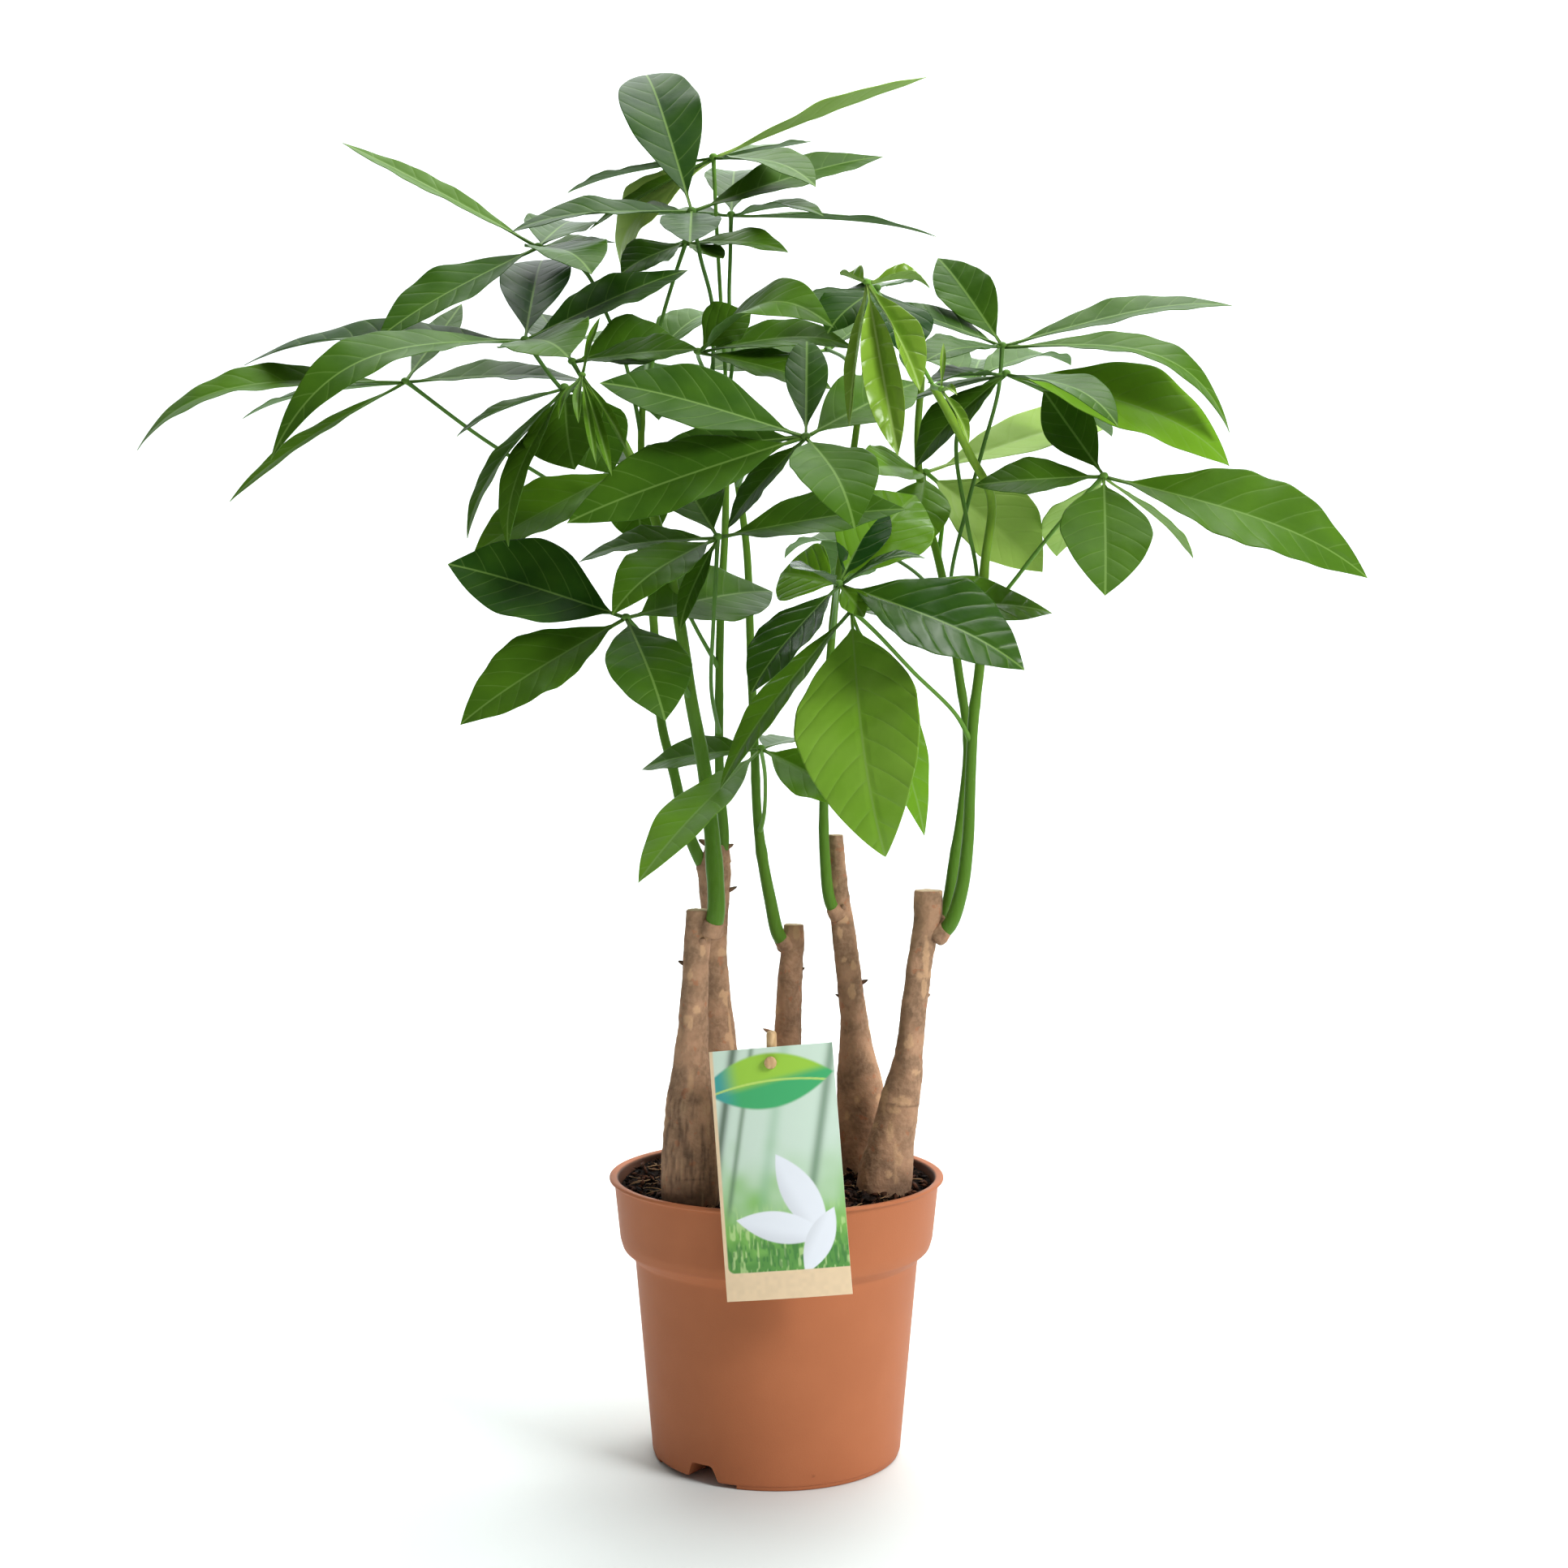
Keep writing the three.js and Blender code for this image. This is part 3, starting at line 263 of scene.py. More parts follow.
def lathe(profile, side_count):
    """Rings about the upright axis, one for each [radius, height] of the profile."""
    angle = np.arange(side_count) / side_count * 2 * math.pi
    around = np.stack([np.cos(angle), np.sin(angle), 0 * angle], -1)
    return profile[:, None, :1] * around + profile[:, None, 1:] * [0, 0, 1]


def turned(points, angle, a=0, b=1):
    """Points turned by an angle, in radians, from axis a towards axis b: about +Z unless told."""
    result = points.copy()
    result[..., a] = points[..., a] * np.cos(angle) - points[..., b] * np.sin(angle)
    result[..., b] = points[..., a] * np.sin(angle) + points[..., b] * np.cos(angle)
    return result


def lump(points, size, seed, cells=32):
    """Smooth noise from -1 to 1: seeded random values at the corners of cubes of the given size,
    blended inside each cube with a smooth step along every axis. It repeats after so many cells."""
    scaled = points / size
    cell = np.floor(scaled).astype(int)
    share = scaled - cell
    share = share * share * (3 - 2 * share)
    table = np.random.default_rng(seed).uniform(-1, 1, (cells, cells, cells))
    total = 0
    for corner in np.ndindex(2, 2, 2):
        at = (cell + corner) % cells
        weight = np.prod(np.where(np.array(corner) == 1, share, 1 - share), axis=-1)
        total = total + weight * table[at[..., 0], at[..., 1], at[..., 2]]
    return total


def empty_group(name, inputs, outputs):
    """A new shader node group with named inputs and outputs (Vector or Float), and its two end nodes."""
    group = bpy.data.node_groups.new(name, "ShaderNodeTree")
    for in_out, sockets in (("INPUT", inputs), ("OUTPUT", outputs)):
        for socket, kind in sockets.items():
            group.interface.new_socket(socket, in_out=in_out, socket_type="NodeSocket" + kind)
    return group, group.nodes.new("NodeGroupInput").outputs, group.nodes.new("NodeGroupOutput").inputs


def speckle_group():
    """Mask of scattered marks: noise at a scale, cut off softly above a level. Outputs the mask and
    the bare noise from 0 to 1."""
    group, given, result = empty_group(
        "speckle", {"Where": "Vector", **dict.fromkeys(("Scale", "Level", "Softness"), "Float")},
        dict.fromkeys(("Mask", "Noise"), "Float"))
    noise = node(group, "TexNoise", {"Vector": given["Where"], "Scale": given["Scale"], "Detail": 4})
    top = node(group, "Math", {0: given["Level"], 1: given["Softness"]}, operation="ADD")
    mask = node(group, "MapRange", {"Value": noise.outputs["Fac"], "From Min": given["Level"],
                                    "From Max": top.outputs[0]}, interpolation_type="SMOOTHSTEP")
    group.links.new(mask.outputs[0], result["Mask"])
    group.links.new(noise.outputs["Fac"], result["Noise"])
    return group


speckle = speckle_group()


def speckles(tree, where, scale, level, softness):
    """Places the speckle group in a material; gives its outputs, Mask and Noise."""
    feeds = {"Where": where, "Scale": scale, "Level": level, "Softness": softness}
    return node(tree, "Group", feeds, node_tree=speckle).outputs


def blend_colours(tree, share, low, high):
    """The colour output of a mix from low to high; each colour is a socket or a linear RGB triple."""
    ends = {key: colour if isinstance(colour, bpy.types.NodeSocket) else (*colour, 1)
            for key, colour in ((6, low), (7, high))}
    return node(tree, "Mix", {0: share, **ends}, data_type="RGBA").outputs[2]


def reckon(tree, operation, *values):
    """The output of a Math node; each value is a socket or a number."""
    return node(tree, "Math", dict(enumerate(values)), operation=operation).outputs[0]


def fade(tree, value, low, high):
    """A mask that climbs evenly from 0 to 1 as the value goes from low to high, in millimetres."""
    return node(tree, "MapRange", {"Value": value, "From Min": low * MM, "From Max": high * MM}).outputs[0]


def tinted(tree, colour, mask, share, tint):
    """The colour with a tint laid over it where the mask is 1, as thickly as the share says."""
    return blend_colours(tree, reckon(tree, "MULTIPLY", mask, share), colour, tint)


def mark_value(tree, mark):
    """A one-number mark of the piece's own mesh, as a socket."""
    return node(tree, "Attribute", attribute_name=mark).outputs["Fac"]


def object_place(tree):
    """Object coordinates, which are the row frame's own, in metres."""
    return node(tree, "TexCoord").outputs["Object"]


def roughen(tree, shader, height, depth, strength=1.0):
    """Feeds the shader's Normal from a bump of the given height, depth in metres."""
    bump = node(tree, "Bump", {"Height": height, "Distance": depth, "Strength": strength})
    tree.links.new(bump.outputs[0], shader.inputs["Normal"])


terracotta, shader = plain_material("terracotta_plastic", TERRACOTTA, 0.55, 0.12)
tree = terracotta.node_tree
place = object_place(tree)
mottle = speckles(tree, place, 28, 0.35, 0.4)
grain = speckles(tree, place, 1500, 0.4, 0.3)
scuff_spots = speckles(tree, place, 95, 0.66, 0.03)
height = node(tree, "SeparateXYZ", {0: place}).outputs[2]
flat_place = node(tree, "VectorMath", {0: place, 1: (1, 1, 0)}, operation="MULTIPLY").outputs[0]
from_axis = node(tree, "VectorMath", {0: flat_place}, operation="LENGTH").outputs["Value"]
above_inside_shade = reckon(tree, "GREATER_THAN", height, INSIDE_SHADE_FOOT * MM)
colour = blend_colours(tree, mottle["Mask"], TERRACOTTA_DULL, TERRACOTTA_WARM)
colour = tinted(tree, colour, fade(tree, height, *SCUFF_FADE), scuff_spots["Mask"], SCUFF)
# Painted shade darkens the inner wall above the soil.
colour = tinted(tree, colour, fade(tree, from_axis, *INSIDE_SHADE_FADE), above_inside_shade, POT_INSIDE_SHADE)
tree.links.new(colour, shader.inputs["Base Color"])
roughen(tree, shader, grain["Noise"], 0.00012, 0.5)

pot_outline = np.array([
    [0.01, 0], [15, 0], [17, 2.5], [49, 2.5], [51, 0], [63.2, 0], [63.5, 2.2], [64.1, 2.6], [64.3, 5.5],
    [72.9, 102], [79, 107.4], [80.5, 112.5], [83.5, 141.4], [86, 142], [86, 143.2], [85.2, 143.8],
    [81.5, 143.2], [78.5, 113.5], [70.9, 104], [62.3, 8], [58.3, FLOOR_TOP], [0.01, FLOOR_TOP],
])
pot = put_piece("nursery_pot", [loft(lathe(rounded(pot_outline, POT_ROUNDING), POT_SIDES))], [terracotta],
                "pot")


def cutter(outline, low, high, top_outline=None):
    """A throw-away block: the outline, turning left-handed about +Z, drawn out from low to high in Z.
    It may change evenly to another outline at the top."""
    ends = [np.column_stack([shape, np.full(len(outline), z)])
            for shape, z in ((outline, low), (outline if top_outline is None else top_outline, high))]
    skin = loft(np.array(ends))
    mesh = bpy.data.meshes.new("cutter")
    mesh.from_pydata((skin["points"] * MM).tolist(), [], skin["quads"].tolist() + skin["fans"].tolist())
    block = bpy.data.objects.new("cutter", mesh)
    scene.collection.objects.link(block)
    return block


def combine(piece, blocks, operation):
    """Adds the blocks to the piece (UNION) or takes them away (DIFFERENCE), and removes them."""
    for block in blocks:
        step = piece.modifiers.new("step", "BOOLEAN")
        step.operation = operation
        step.object = block
    bpy.context.view_layer.update()
    finished = bpy.data.meshes.new_from_object(piece.evaluated_get(bpy.context.evaluated_depsgraph_get()))
    piece.modifiers.clear()
    piece.data = finished
    for block in blocks:
        bpy.data.objects.remove(block)


def arc(radius, start, end, steps=20):
    """Points of an arc about the origin, angles in degrees."""
    angle = np.radians(np.linspace(start, end, steps))
    return np.column_stack([radius * np.cos(angle), radius * np.sin(angle)])


def pocket_outline(reach, direction):
    """A notch's pocket in plan, in a direction, its outer end an arc of the given radius."""
    end = math.degrees(math.asin(POCKET_HALF_WIDTH / reach))
    inner = np.array([[POCKET_START, -POCKET_HALF_WIDTH], [POCKET_START, POCKET_HALF_WIDTH]])
    return turned(np.concatenate([inner[:1], arc(reach, -end, end, 7), inner[1:]]), math.radians(direction))


notch_outline = np.array([
    [-10.8, BELOW_POT], [10.8, BELOW_POT], [7, 7.8], [6.2, 9.3], [4.8, 10],
    [-4.8, 10], [-6.2, 9.3], [-7, 7.8],
])
pockets, blocks = [], []
for direction in NOTCH_DIRECTIONS:
    foot_outline, top_outline = (pocket_outline(reach, direction) for reach in POCKET_REACHES)
    pockets.append(cutter(foot_outline, POCKET_FOOT, POCKET_TOP, top_outline))
    start, end = direction + RING_GAP[0], direction + RING_GAP[1]
    ring_cut = np.concatenate([arc(RING_CUT_RADII[0], start, end), arc(RING_CUT_RADII[1], end, start)])
    blocks.append(cutter(ring_cut, BELOW_POT, RING_CUT_TOP))
    notch = cutter(notch_outline, POCKET_START + POT_WALL, NOTCH_REACH)
    laid_along_x = np.array([vertex.co for vertex in notch.data.vertices])[:, [2, 0, 1]]
    in_place = turned(laid_along_x, math.radians(direction))
    notch.data.vertices.foreach_set("co", in_place.astype(np.float32).ravel())
    blocks.append(notch)
for hole in range(DRAIN_COUNT):
    middle = arc(DRAIN_RING, NOTCH_DIRECTIONS[1] + (hole + 0.5) * 360 / DRAIN_COUNT, 0, 2)[0]
    blocks.append(cutter(middle + arc(DRAIN_RADIUS, 0, 345, 24), BELOW_POT, DRAIN_CUT_TOP))
combine(pot, pockets, "UNION")
combine(pot, blocks, "DIFFERENCE")
pot.data.set_sharp_from_angle(angle=math.radians(POT_EDGE_ANGLE))

# ------------------------------------------------------------------ soil
# Peat potting soil pressed in around the trunks, filled to 7 mm below the rim in a low mound that
# rises a little to the back: dark crumbs, chips of bark, and loose tan root fibres on top.
SOIL_TOP = 136.5
SOIL_GAP = 0.35
POCKET_MARGIN = 2.5
MOUND_RISE = 2.5
MOUND_FOOT = 79
MOUND_SLOPE = 39
BACK_RISE = 4
BACK_SLOPE = (-30, 60)
BED_SIDES = 180
BED_ROUNDING = 2
BED_CLODS = ((1.3, 7), (0.9, 2.6))
CHIP_COUNT = 900
CHIP_SIZES = (4.2, 2.2)
CHIP_SHAPE = [1, 0.6, 0.35]
CHIP_SIDES = 6
CHIP_SPREAD = 78
CHIP_LIFT = 1.6
FIBRE_COUNT = 150
FIBRE_LENGTHS = (6, 20)
FIBRE_RADII = (0.14, 0.3)
FIBRE_SPREAD = 72
FIBRE_LIFT = 1.2
FIBRE_HUMPS = (0.5, 3)
FIBRE_POINTS = 7
PEAT = (0.03, 0.017, 0.011)
PEAT_DARK, PEAT_LIGHT = (0.003, 0.0016, 0.001), (0.013, 0.006, 0.0035)
PEAT_BITS = (0.045, 0.02, 0.011)
CHIP_BARK = (0.075, 0.034, 0.02)
CHIP_DARK, CHIP_LIGHT = (0.006, 0.0026, 0.0016), (0.085, 0.031, 0.015)
FIBRE_STRAW = (0.30, 0.17, 0.075)

draw = np.random.default_rng(41)
peat, shader = plain_material("peat", PEAT, 0.95, 0.05)
tree = peat.node_tree
place = object_place(tree)
crumbs = speckles(tree, place, 260, 0.42, 0.3)
bits = speckles(tree, place, 700, 0.58, 0.06)
colour = blend_colours(tree, crumbs["Mask"], PEAT_DARK, PEAT_LIGHT)
colour = blend_colours(tree, bits["Mask"], colour, PEAT_BITS)
tree.links.new(colour, shader.inputs["Base Color"])
roughen(tree, shader, crumbs["Noise"], 0.0012)
chip_bark, shader = plain_material("bark_chip", CHIP_BARK, 0.85, 0.15)
tree = chip_bark.node_tree
patchy = speckles(tree, object_place(tree), 120, 0.4, 0.3)
colour = blend_colours(tree, patchy["Mask"], CHIP_DARK, CHIP_LIGHT)
tree.links.new(colour, shader.inputs["Base Color"])
fibre_straw = plain_material("root_fibre", FIBRE_STRAW, 0.8)[0]

# The bed follows the pot's inside. Its points 15 and 17.4 mm out keep its step over the pockets short.
bed_foot = FLOOR_TOP + SOIL_GAP
bed_outline = np.array([
    [0.01, bed_foot], [15, bed_foot], [17.4, bed_foot], [57.5, bed_foot], [61.6, 8.5], [70.3, 104.3],
    [77.9, 114.1], [80.2, SOIL_TOP - 1],
])
crown_radius = np.linspace(79.9, 0.01, 62)
crown = np.column_stack([crown_radius, np.full(len(crown_radius), SOIL_TOP)])
bed = lathe(np.concatenate([rounded(bed_outline, BED_ROUNDING, 3), crown]), BED_SIDES)
for direction in NOTCH_DIRECTIONS:
    along_pocket, across_pocket = np.moveaxis(turned(bed[..., :2], math.radians(-direction)), -1, 0)
    over_pocket = along_pocket > POCKET_START - POCKET_MARGIN
    over_pocket &= np.abs(across_pocket) < POCKET_HALF_WIDTH + POCKET_MARGIN
    bed[..., 2] = np.where(over_pocket, np.maximum(bed[..., 2], POCKET_TOP + SOIL_GAP), bed[..., 2])


def smooth_step(low, high, value):
    """0 below low, 1 above high, with a smooth S-shaped rise between."""
    share = np.clip((value - low) / (high - low), 0, 1)
    return share * share * (3 - 2 * share)


def soil_level(x, y):
    """Height of the bed's crown at x, y: a mound that rises evenly inwards from its foot along its
    slope and stays level from there on, and a smooth rise from front to back."""
    mound = np.clip((MOUND_FOOT - np.hypot(x, y)) / MOUND_SLOPE, 0, 1)
    return SOIL_TOP + MOUND_RISE * mound + BACK_RISE * smooth_step(*BACK_SLOPE, y)


on_top = bed[..., 2] > SOIL_TOP - 0.8
clods = sum(rise * lump(bed, size, seed) for seed, (rise, size) in enumerate(BED_CLODS, 1))
bed[..., 2] += on_top * (soil_level(bed[..., 0], bed[..., 1]) - SOIL_TOP + clods)


def scattered(count, spread):
    """Random places in a disc: the radius grows with the root of an even draw."""
    radius, angle = spread * np.sqrt(draw.random(count)), draw.random(count) * 2 * math.pi
    return radius * np.cos(angle), radius * np.sin(angle)


def chips(count, long_side, finish):
    """Flat angular crumbs: a six-sided double cone, stretched, jittered and tipped at random."""
    x, y = scattered(count, CHIP_SPREAD)
    ring = np.arange(CHIP_SIDES) / CHIP_SIDES * 2 * math.pi
    corners = np.stack([np.cos(ring), np.sin(ring), 0 * ring], -1)
    corners = np.concatenate([corners, [[0, 0, 1], [0, 0, -1]]])
    size = long_side * draw.uniform(0.4, 1, (count, 1, 3)) * CHIP_SHAPE
    shape = corners * size * draw.uniform(0.6, 1.2, (count, len(corners), 1))
    tip, spin = draw.normal(0, 0.6, count), draw.random(count) * 2 * math.pi
    spun = turned(turned(shape, tip[:, None], 0, 2), spin[:, None])
    middle = np.stack([x, y, soil_level(x, y) + draw.uniform(0, CHIP_LIFT, count)], -1)
    k = np.arange(CHIP_SIDES)
    onward, pole = (k + 1) % CHIP_SIDES, 0 * k + CHIP_SIDES
    fans = np.concatenate([np.stack([k, onward, pole], -1), np.stack([onward, k, pole + 1], -1)])
    return {"points": (spun + middle[:, None]).reshape(-1, 3), "quads": np.zeros((0, 4), int),
            "fans": (fans + len(corners) * np.arange(count)[:, None, None]).reshape(-1, 3),
            "finish": finish, "marks": {}}


def upright_frame(ahead):
    """Two unit vectors across each direction of travel, from the axis that the path follows least."""
    axis = np.eye(3)[np.argmin(np.abs(ahead).max(axis=0))]
    across = np.cross(ahead, axis)
    across /= np.linalg.norm(across, axis=-1, keepdims=True)
    return across, np.cross(ahead, across)


def headings(path):
    """Unit vectors along a path of points."""
    ahead = np.gradient(path, axis=0)
    return ahead / np.linalg.norm(ahead, axis=-1, keepdims=True)


def tube(path, radii, side_count):
    """Rings of a round stem: circles of the given radii square to the path."""
    across, over = upright_frame(headings(path))
    angle = (np.arange(side_count) / side_count * 2 * math.pi)[None, :, None]
    around = np.cos(angle) * across[:, None] + np.sin(angle) * over[:, None]
    return path[:, None] + np.asarray(radii)[:, None, None] * around


fibres = []
for x, y in zip(*scattered(FIBRE_COUNT, FIBRE_SPREAD)):
    spin, length, bend = draw.random() * 2 * math.pi, draw.uniform(*FIBRE_LENGTHS), draw.normal(0, 0.5)
    share = np.linspace(-0.5, 0.5, FIBRE_POINTS)
    heading = spin + bend * share * 2
    hump = draw.uniform(*FIBRE_HUMPS) * (0.25 - share**2) * 4 * draw.random()
    run = np.stack([x + length * share * np.cos(heading), y + length * share * np.sin(heading),
                    soil_level(x, y) + FIBRE_LIFT + hump], -1)
    fibres.append(loft(tube(run, np.full(FIBRE_POINTS, draw.uniform(*FIBRE_RADII)), 4), 2))
loose = [chips(CHIP_COUNT, CHIP_SIZES[0], 1), chips(CHIP_COUNT, CHIP_SIZES[1], 0), *fibres]
put_piece("potting_soil", [loft(bed), *loose], [peat, chip_bark, fibre_straw], "soil")

# ------------------------------------------------------------------ trunks
# Five cut stems, swollen at the foot like small bottles and planted together. Brown bark with leaf
# scars, dead buds and pale tan patches where it has rubbed off, and a fibrous skin low on two of them.
# Each trunk is: its depth, the height below which it turns fibrous, stations [x, z, radius], knobs
# [height, direction, length, radius, how dark] and patches [x, z, half width, half height] as seen.
TRUNK_SIDES = 96
TRUNK_STEP = 1.0
BARK = (0.24, 0.15, 0.1)
BARK_DARK, BARK_LIGHT = (0.25, 0.15, 0.09), (0.48, 0.275, 0.165)
BARK_SPECKS = (0.48, 0.29, 0.18)
BARK_PITS = (0.42, 0.16, 0.08)
BARK_MARKS = {"dark": (1.0, (0.05, 0.032, 0.022)), "streak": (0.65, (0.50, 0.33, 0.19)),
              "patch": (0.7, (0.60, 0.37, 0.21)), "cut": (1.0, (0.62, 0.47, 0.31))}
TRUNKS = {
    "trunk_1": (
        -46, 190,
        [(-41, 72, 4), (-42, 104, 8), (-45, 131, 14), (-44.6, 160, 13.2), (-44, 184, 12.2), (-43.8, 198, 8.8),
         (-43.4, 214, 7.7), (-42.4, 235, 7), (-41.6, 256, 6.5), (-40.2, 272, 6.3), (-40, 279.5, 6)],
        [(250, 180, 2.5, 1.6, 1), (262, -60, 2.5, 2.6, 0.2)],
        [(-44.4, 221, 1.6, 3.5), (-41, 228, 2.2, 2), (-38, 259, 1.6, 3), (-44.5, 246, 1.6, 3),
         (-37.6, 266, 2, 3)],
    ),
    "trunk_2": (
        18, 200,
        [(-27, 66, 5), (-27, 98, 10), (-27, 130, 15), (-27.5, 165, 14.6), (-28.5, 190, 12.5), (-30, 212, 9.6),
         (-31.5, 236, 7.9), (-32.6, 260, 7), (-32.2, 282, 7.2), (-32.2, 302, 8.4), (-30.3, 313, 6.3)],
        [(287, -10, 5, 1.5, 1), (312, 175, 4, 2, 0.6), (310, -20, 4, 1.8, 0.6)],
        [(-28, 258, 3, 2), (-27, 236, 2.6, 2.2), (-25, 214, 2, 2)],
    ),
    "trunk_3": (
        38, 120,
        [(5, 68, 4), (5.5, 98, 9), (6, 126, 12.5), (6, 156, 12), (6, 180, 9.4), (6, 204, 7), (6.5, 230, 6.7),
         (7.2, 250, 6.5), (8, 262, 6.4), (9, 272, 4.8)],
        [(213, 188, 8, 1.8, 0.4), (247, 0, 1.8, 1.6, 0.8)],
        [(10.5, 268, 2, 3), (2.5, 264, 2, 1.6)],
    ),
    "trunk_4": (
        22, 120,
        [(46, 68, 5), (46, 98, 10), (46, 128, 13), (45, 152, 13), (44, 172, 12.9), (43.6, 190, 12),
         (41.6, 203, 9.8), (39.8, 223, 7.2), (37, 245, 6.5), (34.4, 270, 6), (32.4, 286, 5.6),
         (31.8, 300, 4.3), (30.4, 318, 3.8)],
        [(240, -5, 4, 1.5, 1), (233, 180, 2.5, 1.2, 1), (280, -80, 2, 2.4, 0.3)],
        [(32.6, 268, 1.4, 3), (39.7, 251, 1.5, 2.5), (38.8, 238, 2, 4.5), (35, 254, 1.6, 1.4),
         (33.6, 275, 3, 2)],
    ),
    "trunk_5": (
        -16, 120,
        [(54, 76, 5), (54, 106, 9.5), (54.5, 133, 13.6), (57, 150, 13.2), (60.5, 165, 12), (64, 181, 10),
         (67, 197, 8.1), (69, 214, 6.8), (70.6, 230, 6.4), (73, 250, 6.2), (76, 264, 7), (78, 276, 7.3),
         (78.4, 289.5, 6.7)],
        [(233, 0, 2.5, 1.8, 0.3), (268, -15, 8, 4.4, 0)],
        [(58.5, 165, 2, 5), (63.4, 151, 1.7, 4), (65, 181, 5, 2.6), (61, 176, 3, 2), (77, 255, 1.6, 11),
         (76, 240, 1.4, 5), (51, 168, 1.4, 1.4), (69, 214, 1.4, 2), (72, 196, 2.4, 1.2), (58, 143, 1.8, 2.4)],
    ),
}

bark, shader = plain_material("bark", BARK, 0.88, 0.2)
tree = bark.node_tree
place = object_place(tree)
broad = speckles(tree, place, 75, 0.35, 0.35)
fine = speckles(tree, place, 420, 0.38, 0.3)
pits = speckles(tree, place, 190, 0.63, 0.04)
colour = blend_colours(tree, broad["Mask"], BARK_DARK, BARK_LIGHT)
colour = tinted(tree, colour, fine["Mask"], 0.45, BARK_SPECKS)
colour = tinted(tree, colour, pits["Mask"], 0.5, BARK_PITS)
for mark, (share, tint) in BARK_MARKS.items():
    colour = tinted(tree, colour, mark_value(tree, mark), share, tint)
tree.links.new(colour, shader.inputs["Base Color"])
roughen(tree, shader, fine["Noise"], 0.0006)


def eased(heights, z, values, span=9):
    """Values read off between stations, then averaged over a few neighbours so that no corner stays."""
    read = np.interp(heights, z, values)
    return np.convolve(np.pad(read, span // 2, mode="edge"), np.ones(span) / span, mode="valid")


FIBROUS_FADE = (6, -10)
TRUNK_LUMPS = ((0.4, 9), (0.2, 3), (0.1, 1.3))
SCAR_COUNT = 7
SCAR_WIDTH = 0.9
SCAR_RELIEF = 0.22
FIBRE_RELIEF = 0.4
# The bark turns darker towards the soil, from 150 mm down to 126 mm.
LOW_DARKENING_FADE = (150, 126)
CUT_SHRINK = np.array([0.93, 0.8, 0.4, 0.05])[:, None, None]
CUT_LIFT = np.array([0.5, 0.6, 0.2, 0.1])[:, None, None]
CUT_PALE = np.array([0.5, 1, 1, 1])[:, None]
KNOB_OUT, KNOB_UP = 0.939, 0.343
KNOB_TAPER = 0.62
KNOB_CURVE = 0.12


